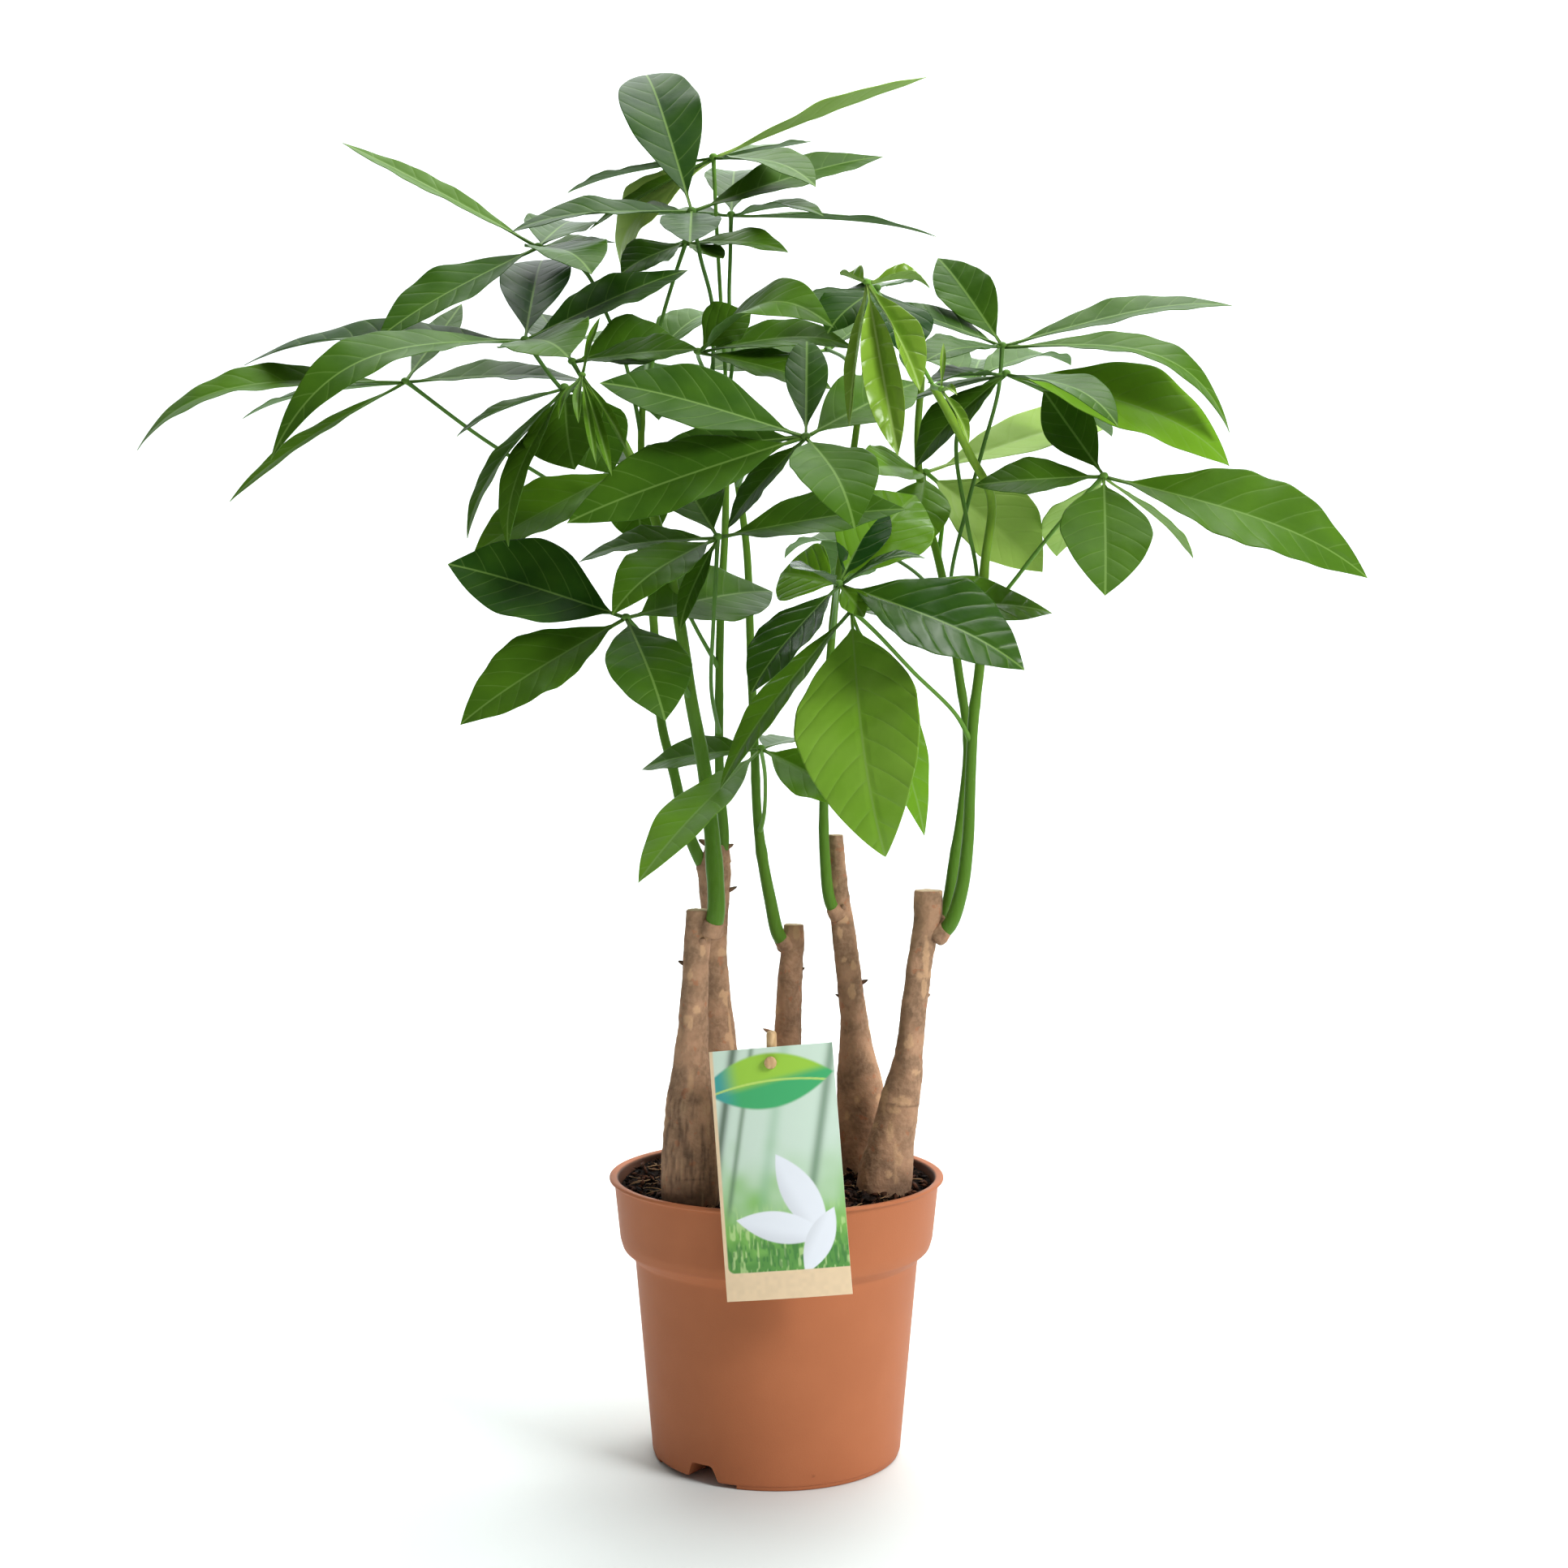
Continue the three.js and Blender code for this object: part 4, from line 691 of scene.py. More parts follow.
def trunk_skins(depth, fibrous_below, stations, knobs, patches, seed):
    """A trunk: circles about its line, made lumpy by two sine waves, then moved out or in by noise in
    three sizes, by upright fibres and by scar rings, each a bell curve in height about a tilted ring.
    Its cut top narrows in four rings and dips in the middle. Knobs are short cones that bend upwards."""
    station_x, station_z, station_radius = np.array(stations, float).T
    heights = np.append(np.arange(station_z[0], station_z[-1], TRUNK_STEP), station_z[-1])
    station = np.interp(heights, station_z, np.arange(len(station_z)))[:, None]
    line_x = eased(heights, station_z, station_x)
    centre = seen(np.column_stack([line_x, np.full(len(heights), depth), heights]))[:, None]
    angle = (np.arange(TRUNK_SIDES) / TRUNK_SIDES * 2 * math.pi)[None]
    outward = np.stack([np.cos(angle), np.sin(angle), 0 * angle], -1)
    width = 1 + 0.04 * np.sin(3 * angle + station) + 0.03 * np.sin(2 * angle - 2 * station)
    width = eased(heights, station_z, station_radius)[:, None] * width
    bare = centre + width[..., None] * outward
    fibrous = smooth_step(*FIBROUS_FADE, heights - fibrous_below)[:, None]
    streaks = 0.6 * lump(bare * [1, 1, 0.1], 1.25, seed) + 0.4 * lump(bare * [1, 1, 0.16], 0.7, seed + 1)
    scars = np.random.default_rng(seed).uniform(station_z[2], station_z[-1] - 4, SCAR_COUNT)
    ring = sum(np.exp(-(((heights[:, None] - scar - np.sin(angle + scar)) / SCAR_WIDTH) ** 2))
               * (0.6 + 0.4 * np.cos(angle - scar)) for scar in scars)
    relief = sum(rise * lump(bare, size, seed + n) for n, (rise, size) in enumerate(TRUNK_LUMPS, 2))
    relief = relief + FIBRE_RELIEF * fibrous * streaks + SCAR_RELIEF * ring * (1 - 0.6 * fibrous)
    points = bare + relief[..., None] * outward

    reach = (points[..., 1] - EYE[1]) / -EYE[1]
    seen_x, seen_z = points[..., 0] / reach, EYE[2] + (points[..., 2] - EYE[2]) / reach
    ragged = 0.35 * lump(points, 1.6, seed + 5)
    patch = smooth_step(0.62, 0.75, lump(points * [1, 1, 0.7], 6, seed + 6)) * (1 - fibrous)
    for patch_x, patch_z, half_width, half_height in patches:
        off = np.hypot((seen_x - patch_x) / half_width, (seen_z - patch_z) / half_height) + ragged
        patch = np.maximum(patch, smooth_step(1.1, 0.85, off) * (points[..., 1] < centre[..., 1]))
    dark = 0.55 * fibrous * smooth_step(-0.1, 0.5, -streaks) + 0.5 * np.clip(ring - 0.75, 0, 1)
    # Darker bark towards the soil, below 150 mm.
    dark = np.maximum(np.clip(dark, 0, 1), 0.5 * smooth_step(*LOW_DARKENING_FADE, heights)[:, None])
    streak = fibrous * smooth_step(0.25, 0.7, streaks)

    lift = CUT_LIFT + 0.25 * lump(points[-1], 2, seed + 7)[None, :, None]
    top = centre[-1] + (points[-1] - centre[-1])[None] * CUT_SHRINK + lift * np.array([0, 0, 1])

    def over_top(values, at_top=0):
        """The side's values followed by those of the cut top."""
        return np.concatenate([np.broadcast_to(values, points.shape[:2]), np.full(top.shape[:2], at_top)])

    marks = {"patch": over_top(patch), "dark": over_top(dark), "streak": over_top(streak),
             "cut": over_top(0.0, CUT_PALE)}
    skins = [loft(np.concatenate([points, top]), **marks)]
    for height, direction, length, thick, darkness in knobs:
        turn = math.radians(direction)
        way = np.array([math.cos(turn) * KNOB_OUT, math.sin(turn) * KNOB_OUT, KNOB_UP])
        share = np.linspace(0, 1, 12)[:, None]
        inner = 0.4 * station_radius[np.argmax(station_z > height)]
        path = centre[np.searchsorted(heights, height)] + way * (inner + share * (length + 1.5 * inner))
        path = path + np.array([0, 0, KNOB_CURVE]) * length * share**2
        radii = thick * (1 - KNOB_TAPER * share**2) * np.sqrt(np.clip(1.02 - share**8, 0.03, 1))
        knob = tube(path, radii[:, 0], 14)
        knob = knob + 0.12 * lump(knob, 1.4, seed + 8)[..., None] * (knob - path[:, None])
        skins.append(loft(knob, dark=darkness * share))
    return skins


for seed, (name, trunk) in enumerate(TRUNKS.items()):
    put_piece("bark_" + name, trunk_skins(*trunk, seed * 20 + 3), [bark], name, sharp=70)

# ------------------------------------------------------------------ shoots
# Seven green shoots that grew from the trunks after the cut: smooth, round, a little glossy, thick
# at the root, pale green towards the top, and gripped at the root by a ragged heel of bark. Each is:
# its radii at the root, a quarter of the way up and at the tip, how pale its top is, and its points.
SHOOTS = {
    "shoot_1": (
        (4.6, 3.6, 1.9), 0.4,
        [(-34, -48, 268), (-31.2, -52, 277), (-32, -49, 305), (-36.9, -42, 351), (-43.9, -44, 389),
         (-49.3, -48, 426), (-55, -49, 455), (-69, -44, 500), (-86, -45, 532), (-98, -48, 549)],
    ),
    "shoot_2a": (
        (3.4, 2.5, 1.7), 0.4,
        [(-35, 18, 298), (-40, 16, 307), (-46, 16, 322), (-52.7, 18, 351), (-58.9, 22, 376), (-63, 28, 430),
         (-67, 30, 480), (-69, 32, 520), (-67, 32, 552)],
    ),
    "shoot_2b": (
        (3, 2.3, 1.6), 0.25,
        [(-28, 17, 304), (-27, 15, 317), (-29, 14, 345), (-29.4, 12, 376), (-28.6, 10, 430), (-26, 8, 480),
         (-26, 6, 515), (-26, 4, 548)],
    ),
    "shoot_3": (
        (3.8, 2.5, 1.6), 0.25,
        [(6, 37, 261), (1, 32, 267), (-3, 31, 284), (-7.6, 32, 309), (-9.9, 33, 330), (-11.1, 32, 360),
         (-13.2, 30, 413), (-14.8, 28, 459), (-17.3, 27, 482), (-23, 26, 515), (-34, 24, 556)],
    ),
    "shoot_4": (
        (3.3, 2.3, 1.7), 0.4,
        [(32, 20, 277), (27.6, 15, 284), (24.8, 15, 308), (24.3, 17, 335), (26, 20, 385), (29, 22, 428),
         (34, 24, 470), (40, 24, 520), (46, 22, 560)],
    ),
    "shoot_5a": (
        (3.4, 2.5, 1.8), 0.4,
        [(82, -13, 270), (87.5, -8, 281), (91.2, -4, 304), (95.1, 0, 330), (98, 4, 366), (93.5, 8, 400),
         (88.5, 10, 432), (82, 12, 462), (74.7, 14, 488), (72, 18, 520), (74, 22, 552)],
    ),
    "shoot_5b": (
        (3.9, 2.8, 2), 0.75,
        [(82, -18, 266), (89, -22, 272), (95, -22, 290), (98.2, -20, 315), (99.6, -20, 351),
         (101.1, -20, 380), (104, -20, 405), (106.3, -20, 455), (109.6, -22, 490), (99, -36, 512),
         (88, -46, 533), (80, -52, 547)],
    ),
}
SHOOT_STEP = 1.5
SHOOT_JOINTS = 6
HEEL_SWELLING = np.array([1.2, 1.7, 1.4, 0.9, 0.5, 0.12])
HEEL_SEED = 701
STEM = (0.06, 0.16, 0.02)
STEM_ROOT, STEM_TOP = (0.085, 0.19, 0.018), (0.24, 0.40, 0.035)
STEM_LINES = (0.11, 0.23, 0.04)
STEM_DOTS = (0.16, 0.20, 0.07)

green_stem, shader = plain_material("green_stem", STEM, 0.42, 0.12)
tree = green_stem.node_tree
place = object_place(tree)
stretched = node(tree, "Mapping", {"Vector": place, "Scale": (1, 1, 0.12)}).outputs[0]
lines = speckles(tree, stretched, 700, 0.4, 0.25)
dots = speckles(tree, place, 520, 0.68, 0.04)
colour = blend_colours(tree, mark_value(tree, "climb"), STEM_ROOT, STEM_TOP)
colour = tinted(tree, colour, lines["Mask"], 0.3, STEM_LINES)
colour = tinted(tree, colour, dots["Mask"], 0.35, STEM_DOTS)
tree.links.new(colour, shader.inputs["Base Color"])
roughen(tree, shader, lines["Noise"], 0.00015)


def climbing(points, step):
    """A centripetal Catmull-Rom curve through the points, read off at equal steps along its length."""
    points = np.asarray(points, float)
    knots = np.vstack([2 * points[0] - points[1], points, 2 * points[-1] - points[-2]])
    p0, p1, p2, p3 = knots[:-3], knots[1:-2], knots[2:-1], knots[3:]
    t0, t1, t2 = (np.sqrt(np.linalg.norm(end - start, axis=1, keepdims=True))
                  for start, end in ((p0, p1), (p1, p2), (p2, p3)))
    leaving = ((p1 - p0) / t0 - (p2 - p0) / (t0 + t1) + (p2 - p1) / t1) * t1
    reaching = ((p2 - p1) / t1 - (p3 - p1) / (t1 + t2) + (p3 - p2) / t2) * t1
    u = np.linspace(0, 1, 24)[None, :, None]
    p1, p2, leaving, reaching = (part[:, None] for part in (p1, p2, leaving, reaching))
    curve = ((2 * u**3 - 3 * u**2 + 1) * p1 + (u**3 - 2 * u**2 + u) * leaving
             + (3 * u**2 - 2 * u**3) * p2 + (u**3 - u**2) * reaching).reshape(-1, 3)
    travelled = np.r_[0, np.cumsum(np.linalg.norm(np.diff(curve, axis=0), axis=1))]
    stops = np.linspace(0, travelled[-1], max(3, int(travelled[-1] / step)))
    return np.stack([np.interp(stops, travelled, curve[:, axis]) for axis in range(3)], -1)


def heel_skin(path, radius, seed):
    """The heel of bark round a shoot's root: a tube about its first points, swollen and then tapering
    down to the shoot, its corners moved out or in by noise."""
    root = path[:len(HEEL_SWELLING)]
    swollen = radius[:len(HEEL_SWELLING)] + HEEL_SWELLING
    heel = tube(root, swollen, 24)
    ragged = 0.5 * lump(heel, 2.2, seed)[..., None]
    return loft(heel + ragged * (heel - root[:, None]) / swollen[:, None, None], 1)


shoot_paths = {}
for number, (name, (radii, top_tint, points)) in enumerate(SHOOTS.items()):
    path = climbing(seen(points), SHOOT_STEP)
    shoot_paths[name] = path
    share = np.linspace(0, 1, len(path))
    radius = np.interp(share, [0, 0.25, 1], radii)
    joints = np.random.default_rng(number).uniform(0.1, 0.95, SHOOT_JOINTS)
    swelling = sum(np.exp(-(((share - joint) * len(path) / 2.2) ** 2)) for joint in joints)
    tint = top_tint * smooth_step(0.25, 0.9, share)
    stem = loft(tube(path, radius * (1 + 0.07 * swelling), 18), climb=tint[:, None])
    put_piece("green_" + name, [stem, heel_skin(path, radius, HEEL_SEED + number)], [green_stem, bark], name)

# ------------------------------------------------------------------ leaves
# Hand-shaped leaves: each long stalk carries five or so leaflets that spread from one joint. Mature
# ones are deep green with a satin face, quilted between their side veins, and paler and dull
# underneath; two catch more light, and the youngest are folded, with yellow-green ones among them.
# Each leaf is: its shoot, the height it leaves it at, points of its stalk, its joint, and rows for
# its leaflets [x, y, z of the tip, width, tilt, turn, arch, how light, tip power, widest place].
# Tilt is how far a leaflet's upper side leans towards the viewer, turn swings that to the right, and
# arch is how far its midrib bows. How light is partly the leaflet's own tone and partly painted light
# and shade, making a leaflet lighter or darker to match how lit it looks; a lightness above 1 is a
# painted glow of light shining through it from behind. The last two are given where they aren't the
# usual ones: a low power makes a round tip, and the widest place is a share of the length.
LEAVES = {
    "leaf_01": (
        "shoot_2b", 520, [(-26, -4, 552), (-28, 12, 585), (-30, 18, 620)], (-32, 10, 663),
        [
            (76, 40, 703, 30, -4, 0, 1, 1.5), (20, -60, 648, 34, 27, 0, 6, 0.35),
            (18, 90, 671, 26, 6, 0, 0, 0.3), (-106, 70, 645, 28, 22, 0, 3, 0.35),
            (-78, 52, 604, 40, 62, -40, 14, 1.9), (-95, 30, 626.5, 16, 34, 0, 2, 0.45),
        ],
    ),
    "leaf_02": (
        "shoot_2b", 506, [(-32, 2, 545), (-32.5, 6, 587), (-39, -16, 614)], (-43, -30, 636),
        [
            (-66, 62, 704, 42, 60, 0, 8, 0.06, 0.5, 0.64), (-135, -30, 625, 36, 26, 0, 5, 0.12),
            (-97, 8, 634, 28, 22, 0, 1, 0.2), (-44, -105, 620, 30, 16, 0, 1, 0.08),
            (54, 0, 663, 34, 38, 0, 3, 0.3),
        ],
    ),
    "leaf_03": (
        "shoot_2b", 534, [(-22, 14, 565), (-24, 20, 590), (-23.5, 24, 612)], (-23, 28, 634),
        [
            (-21, 112, 655, 32, 46, 0, 6, 0.25), (24, -5, 633, 28, 19, 0, 5, 0.35),
            (81, 50, 623, 26, 14, 0, 4, 0.3), (-72, 94, 632, 28, 16, 0, 2, 0.35),
        ],
    ),
    "leaf_04": (
        "shoot_2a", 545, [(-61, 28, 568), (-58, 24, 582), (-52, 16, 602)], (-46, 8, 620),
        [
            (-79, -8, 604, 32, 34, 0, 2, 0.25), (6, -10, 615, 32, 28, 0, 3, 0.5),
            (-27, -14, 612, 18, 20, 0, 0, 0.55), (-70, 60, 615, 28, 16, 0, 0, 0.4),
        ],
    ),
    "leaf_05": (
        "shoot_2a", 528, [(-78, 24, 563), (-87, 24, 585), (-97, 23, 605)], (-121, -12, 618),
        [
            (-220, -2, 670, 20, 26, 0, 1, 0.45), (-203, -62, 571, 40, 46, -20, 3, 0.2),
            (-102, 60, 630, 38, 50, 0, 3, 0.2), (-94, -85, 604, 40, 26, 0, 5, 0.22),
            (-82, -2, 620, 22, 22, 0, 1, 0.3),
        ],
    ),
    "leaf_06": (
        "shoot_1", 525, [(-100, -50, 537), (-113, -48, 550)], (-128, -46, 571),
        [
            (-119, 40, 611, 37, 64, 0, 4, 0.05, 0.5, 0.64), (-271, 20, 558, 40, 24, 0, 9, 0.1),
            (-258, -132, 510, 34, 36, 0, 27, 0.28), (-45, -14, 606, 36, 34, 0, 2, 0.15),
            (-106, -125, 562, 46, 22, -60, 4, 0.35),
        ],
    ),
    "leaf_07": (
        "shoot_2a", 455, [(-76, 28, 474), (-115, 20, 499), (-150, 12, 521)], (-189, 6, 550),
        [
            (-326, -4, 515, 38, 28, 0, 19, 0.45), (-279, -50, 489, 18, 12, 0, 4, 0.5),
            (-272, 50, 531, 32, 20, 0, 5, 0.2), (-98, 24, 550, 38, 24, 0, 3, 0.25),
            (-160, 84, 589, 20, 48, 0, 0, 0.2),
        ],
    ),
    "leaf_08": (
        "shoot_5b", 428, [(121, -24, 448), (135, -28, 466), (150, -32, 484)], (167, -36, 502),
        [
            (101, -34, 497, 29, 42, 0, 1, 0.35), (136, -6, 545, 26, 56, -30, 0, 0.3),
            (302, -60, 450, 55, 50, 15, 10, 0.4), (168, -105, 441, 45, 55, 0, 3, 0.35),
            (213, 30, 460, 20, 32, 0, 3, 1.2), (143, 50, 461, 34, 45, 0, 3, 1.5),
        ],
    ),
    "leaf_09": (
        "shoot_5a", 418, [(89, 2, 448), (97, -9, 485), (105, -10, 515), (113, -5, 545)], (115, -2, 568),
        [
            (82, 44, 612, 30, 56, -10, 3, 0.25), (52, 22, 590, 28, 24, 0, 1, 0.2),
            (76, -42, 560, 36, 22, 0, 3, 0.2), (232, 10, 588, 32, 28, 0, 6, 0.25),
            (231, -36, 524, 32, 28, 0, 24, 0.4),
        ],
    ),
    "leaf_10": (
        "shoot_5b", 416, [(102, -14, 455), (97, -18, 480), (92, -19, 522), (103, -18, 545)], (117, -20, 554),
        [
            (174, -88, 527, 32, 14, 0, 8, 0.25), (77, -34, 549, 32, 14, 0, 2, 0.25),
            (231, -30, 507, 54, 44, 0, 12, 0.95), (171, 60, 522, 36, 36, 0, 3, 0.6),
            (71, -26, 506, 36, 60, -50, 4, 0.3), (60, -8, 537, 22, 16, 0, 1, 0.3),
        ],
    ),
    "leaf_11": (
        "shoot_5b", 520, [(74, -56, 558), (62, -84, 578)], (46, -104, 600),
        [
            (37, -122, 527, 10, 80, -50, 1, 1), (62, -142, 512, 24, 85, -10, 3, 1),
            (73, -128, 545, 22, 75, 30, 3, 1), (34, -86, 604, 14, 40, 0, 0, 1),
            (78, -96, 597, 14, 30, 0, 4, 1),
        ],
    ),
    "leaf_12": (
        "shoot_3", 500, [(-12, -20, 512), (2, -66, 520)], (15, -110, 522),
        [
            (-90, -112, 549, 42, 46, 0, 3, 0.2), (-107, -128, 478, 42, 52, 0, 3, 0.3),
            (15.5, -52, 570, 21, 64, 0, 3, 0.1, 0.6), (40, -172, 475, 40, 62, 10, 8, 0.3),
            (72, -66, 549, 38, 46, 0, 2, 0.35), (-25, -98, 475, 26, 45, -40, 2, 0.3),
            (-72, -72, 510, 34, 40, 0, 2, 0.2),
        ],
    ),
    "leaf_13": (
        "shoot_2b", 370, [(-33.4, -30, 394), (-32.4, -67, 424), (-31, -80, 450)], (-30, -87, 471),
        [
            (-101, -72, 458, 30, 26, 0, 4, 0.35), (-84, -132, 431, 34, 30, 0, 6, 0.35),
            (66, -110, 485, 44, 36, 0, 2, 0.3), (-52, -34, 503, 32, 55, 0, 3, 0.3),
            (-49.4, -94, 422.8, 14, 50, -30, 3, 0.3),
        ],
    ),
    "leaf_14": (
        "shoot_1", 388, [(-52, -60, 403), (-62, -70, 414)], (-77, -80, 430),
        [
            (-168, -84, 457, 54, 50, 0, 2, 0.08), (-162, -112, 375, 44, 52, -20, 3, 0.38),
            (-57, -152, 377, 40, 60, 10, 4, 0.2, 1, 0.6), (-2, -6, 443, 48, 52, 0, 3, 0.4),
        ],
    ),
    "leaf_15": (
        "shoot_4", 420, [(30, 0, 436), (31, -40, 446)], (32, -80, 447),
        [
            (127, -112, 403, 54, 50, 15, 6, 0.12), (-13, -108, 391, 40, 50, -45, 3, 0.15),
            (54, -46, 488, 26, 55, 0, 3, 0.03), (71, -40, 492, 52, 58, 0, 3, 0.8),
            (76, -94, 460, 16, 20, 0, 5, 0.1), (8.4, -132, 455, 17, 40, 0, 2, 0, 0.6),
            (2, -50, 452, 36, 70, 0, 2, 1), (45, -92, 430, 14, 62, 0, 1, 0.6),
        ],
    ),
    "leaf_16": (
        "shoot_5b", 366, [(92, -26, 380), (70, -44, 402), (50, -60, 423)], (38, -70, 434),
        [
            (56, -122, 307, 62, 75, -20, 12, 1.12, 0.9, 0.5), (-29, -104, 342, 22, 50, -40, 5, 0.5),
            (60, -40, 432, 26, 45, 0, 1, 0.5), (76, -60, 318, 28, 70, 30, 4, 0.9),
            (141, -34, 432, 36, 42, 0, 5, 0.45),
        ],
    ),
    "leaf_17": (
        "shoot_3", 318, [(-6.5, 22, 328), (-5.8, 0, 348)], (-8, -24, 363),
        [
            (-71, -138, 294, 32, 45, -25, 3, 0.75), (-69, 0, 352, 32, 30, 0, 3, 0.45),
            (42, -52, 335, 36, 45, 0, 2, 0.75), (14, 56, 368, 26, 10, 0, 1, 0.4),
        ],
    ),
    "leaf_18": (
        "shoot_5a", 460, [(85, 20, 482), (84, 21, 496)], (76, 22, 504),
        [
            (136, 10, 453, 56, 56, 20, 3, 1.8), (184, 100, 537, 38, 40, 0, 2, 1.6),
            (44, -22, 504, 34, 52, 0, 3, 0.9), (70, -26, 462, 32, 62, 0, 3, 0.9),
        ],
    ),
    "leaf_19": (
        "shoot_1", 534, [(-103, -52, 545)], (-108, -54, 547),
        [
            (-163, -62, 522, 18, 14, 0, 3, 0.3), (-158, -78, 470, 24, 50, -60, 7, 0.35),
            (-137, -96, 466, 22, 55, -50, 8, 0.4), (-103, -86, 505, 44, 60, -30, 3, 0.4),
            (-84, -60, 503, 38, 65, 0, 2, 0.3),
        ],
    ),
    "leaf_20": (
        "shoot_1", 522, [(-97, -30, 548)], (-104, -20, 560),
        [
            (-46, -4, 566, 42, 46, 0, 6, 0.3), (-40, -54, 566, 32, 34, 0, 1, 0.3),
            (-120, 50, 584, 30, 30, 0, 1, 0.3),
        ],
    ),
    "leaf_21": (
        "shoot_2b", 404, [(-42, 2, 426), (-60, -4, 465)], (-74, -12, 507),
        [
            (-155, -40, 462, 46, 42, -20, 2, 0.75), (-68, -22, 466, 32, 62, 0, 2, 0.4),
            (-34, 60, 514, 30, 24, 0, 2, 0.3), (-106, 44, 512, 30, 26, 0, 2, 0.3),
        ],
    ),
    "leaf_22": (
        "shoot_3", 545, [(-39, 4, 560)], (-40, -20, 565),
        [
            (29, -80, 577, 42, 42, 0, 18, 0.45), (-13, -20, 584, 34, 46, 0, 3, 0.35),
            (40, -14, 566, 34, 32, 0, 7, 0.4), (28, -48, 546, 34, 30, 0, 2, 0.4),
        ],
    ),
    "leaf_23": (
        "shoot_4", 550, [(49, 0, 580)], (51, -22, 597),
        [
            (66, -60, 562, 38, 60, 25, 4, 0.05), (26, -46, 574, 32, 52, -20, 3, 0.1),
            (56, 62, 598, 34, 30, 0, 2, 0.2), (20, 40, 590, 32, 26, 0, 2, 0.3),
        ],
    ),
    "leaf_24": (
        "shoot_2a", 548, [(-66, 70, 560)], (-64, 110, 562),
        [
            (-112, 160, 566, 42, 14, 0, 8, 0.3), (-26, 150, 582, 40, 14, 0, 8, 0.3),
            (-70, 190, 570, 44, 10, 0, 10, 0.3), (-60, 150, 530, 36, 70, 180, 8, 0.3),
        ],
    ),
    "leaf_25": (
        "shoot_4", 545, [(36, 70, 560)], (26, 112, 566),
        [
            (-34, 44, 556, 44, 46, 0, 2, 0.3), (66, 165, 580, 42, 14, 0, 8, 0.3),
            (24, 196, 568, 44, 10, 0, 10, 0.3),
        ],
    ),
    "leaf_26": (
        "shoot_5a", 545, [(88, 66, 552)], (100, 104, 552),
        [
            (150, 150, 558, 42, 14, 0, 8, 0.3), (66, 158, 556, 42, 14, 0, 8, 0.3),
            (106, 186, 552, 44, 10, 0, 10, 0.3),
        ],
    ),
    "leaf_27": (
        "shoot_2a", 470, [(-76, 70, 480)], (-92, 104, 486),
        [
            (-136, 140, 480, 42, 14, 0, 8, 0.3), (-54, 160, 500, 42, 14, 0, 8, 0.3),
            (-100, 188, 480, 44, 10, 0, 10, 0.3), (-120, 60, 478, 34, 20, 0, 6, 0.3),
        ],
    ),
    "leaf_28": (
        "shoot_5a", 425, [(74, 60, 450)], (50, 104, 466),
        [
            (4, 130, 460, 42, 14, 0, 8, 0.3), (72, 150, 466, 42, 14, 0, 8, 0.3),
            (40, 190, 470, 44, 10, 0, 10, 0.3), (20, 170, 446, 36, 70, 180, 8, 0.3),
        ],
    ),
    "young_leaf_1": (
        "shoot_1", 552, [], (-99, -76, 553),
        [
            (-111, -112, 531, 5, 80, -30, 2, 0.6), (-101, -124, 529, 6, 80, -10, 2, 0.6),
            (-92, -126, 508, 6, 80, 0, 2, 0.6), (-84, -124, 502, 7, 80, 10, 2, 0.6),
            (-76, -114, 514, 6, 80, 20, 2, 0.6),
            (-90, -80, 582, 5, 40, 0, 1, 0.6),
        ],
    ),
    "young_leaf_2": (
        "shoot_5b", 540, [], (84, -70, 546),
        [
            (85, -76, 569, 4, 60, 0, 1, 1), (98, -84, 518, 8, 80, 20, 3, 1),
            (92, -84, 543, 5, 60, 0, 2, 1),
        ],
    ),
}
YOUNG = ("leaf_11", "young_leaf_1", "young_leaf_2")
LIME = ("leaf_11", "young_leaf_2")
SHINY = ("leaf_15", "leaf_16")
BLADE_FOLD = 12
YOUNG_FOLD = 48
BLADE_START = 0.08
BLADE_WIDEST = 0.56
TIP_POWER = 1
BLADE_BOW = 2.12
BLADE_DROOP = 0.12
BLADE_RIPPLE = 0.045
BLADE_WAVES = (1.6, 3.2)
BLADE_TWIST = 10
BLADE_THICKNESS = 0.45
STEM_THICKNESS = 0.9
STEM_FADE = (0.15, 0.05)
ROOT_OFFSET = 1.4
VEIN_SPACING = 4.5
VEIN_SLOPE = 0.62
VEIN_SHARPNESS = 4
RIB_DEPTH = 0.7
RIB_HALF_WIDTH = 0.6
STALK_STEP = 1.6
STALK_RADIUS = 1.05
STALK_SIDES = 10
JOINT_RADIUS = 2.3
YOUNG_JOINT_RADIUS = 1.9
LEAF_SEED = 500
HALF_ACROSS = [0.04, 0.11, 0.24, 0.42, 0.62, 0.82, 0.965, 1]
ACROSS = np.array([-share for share in HALF_ACROSS[::-1]] + [0] + HALF_ACROSS)


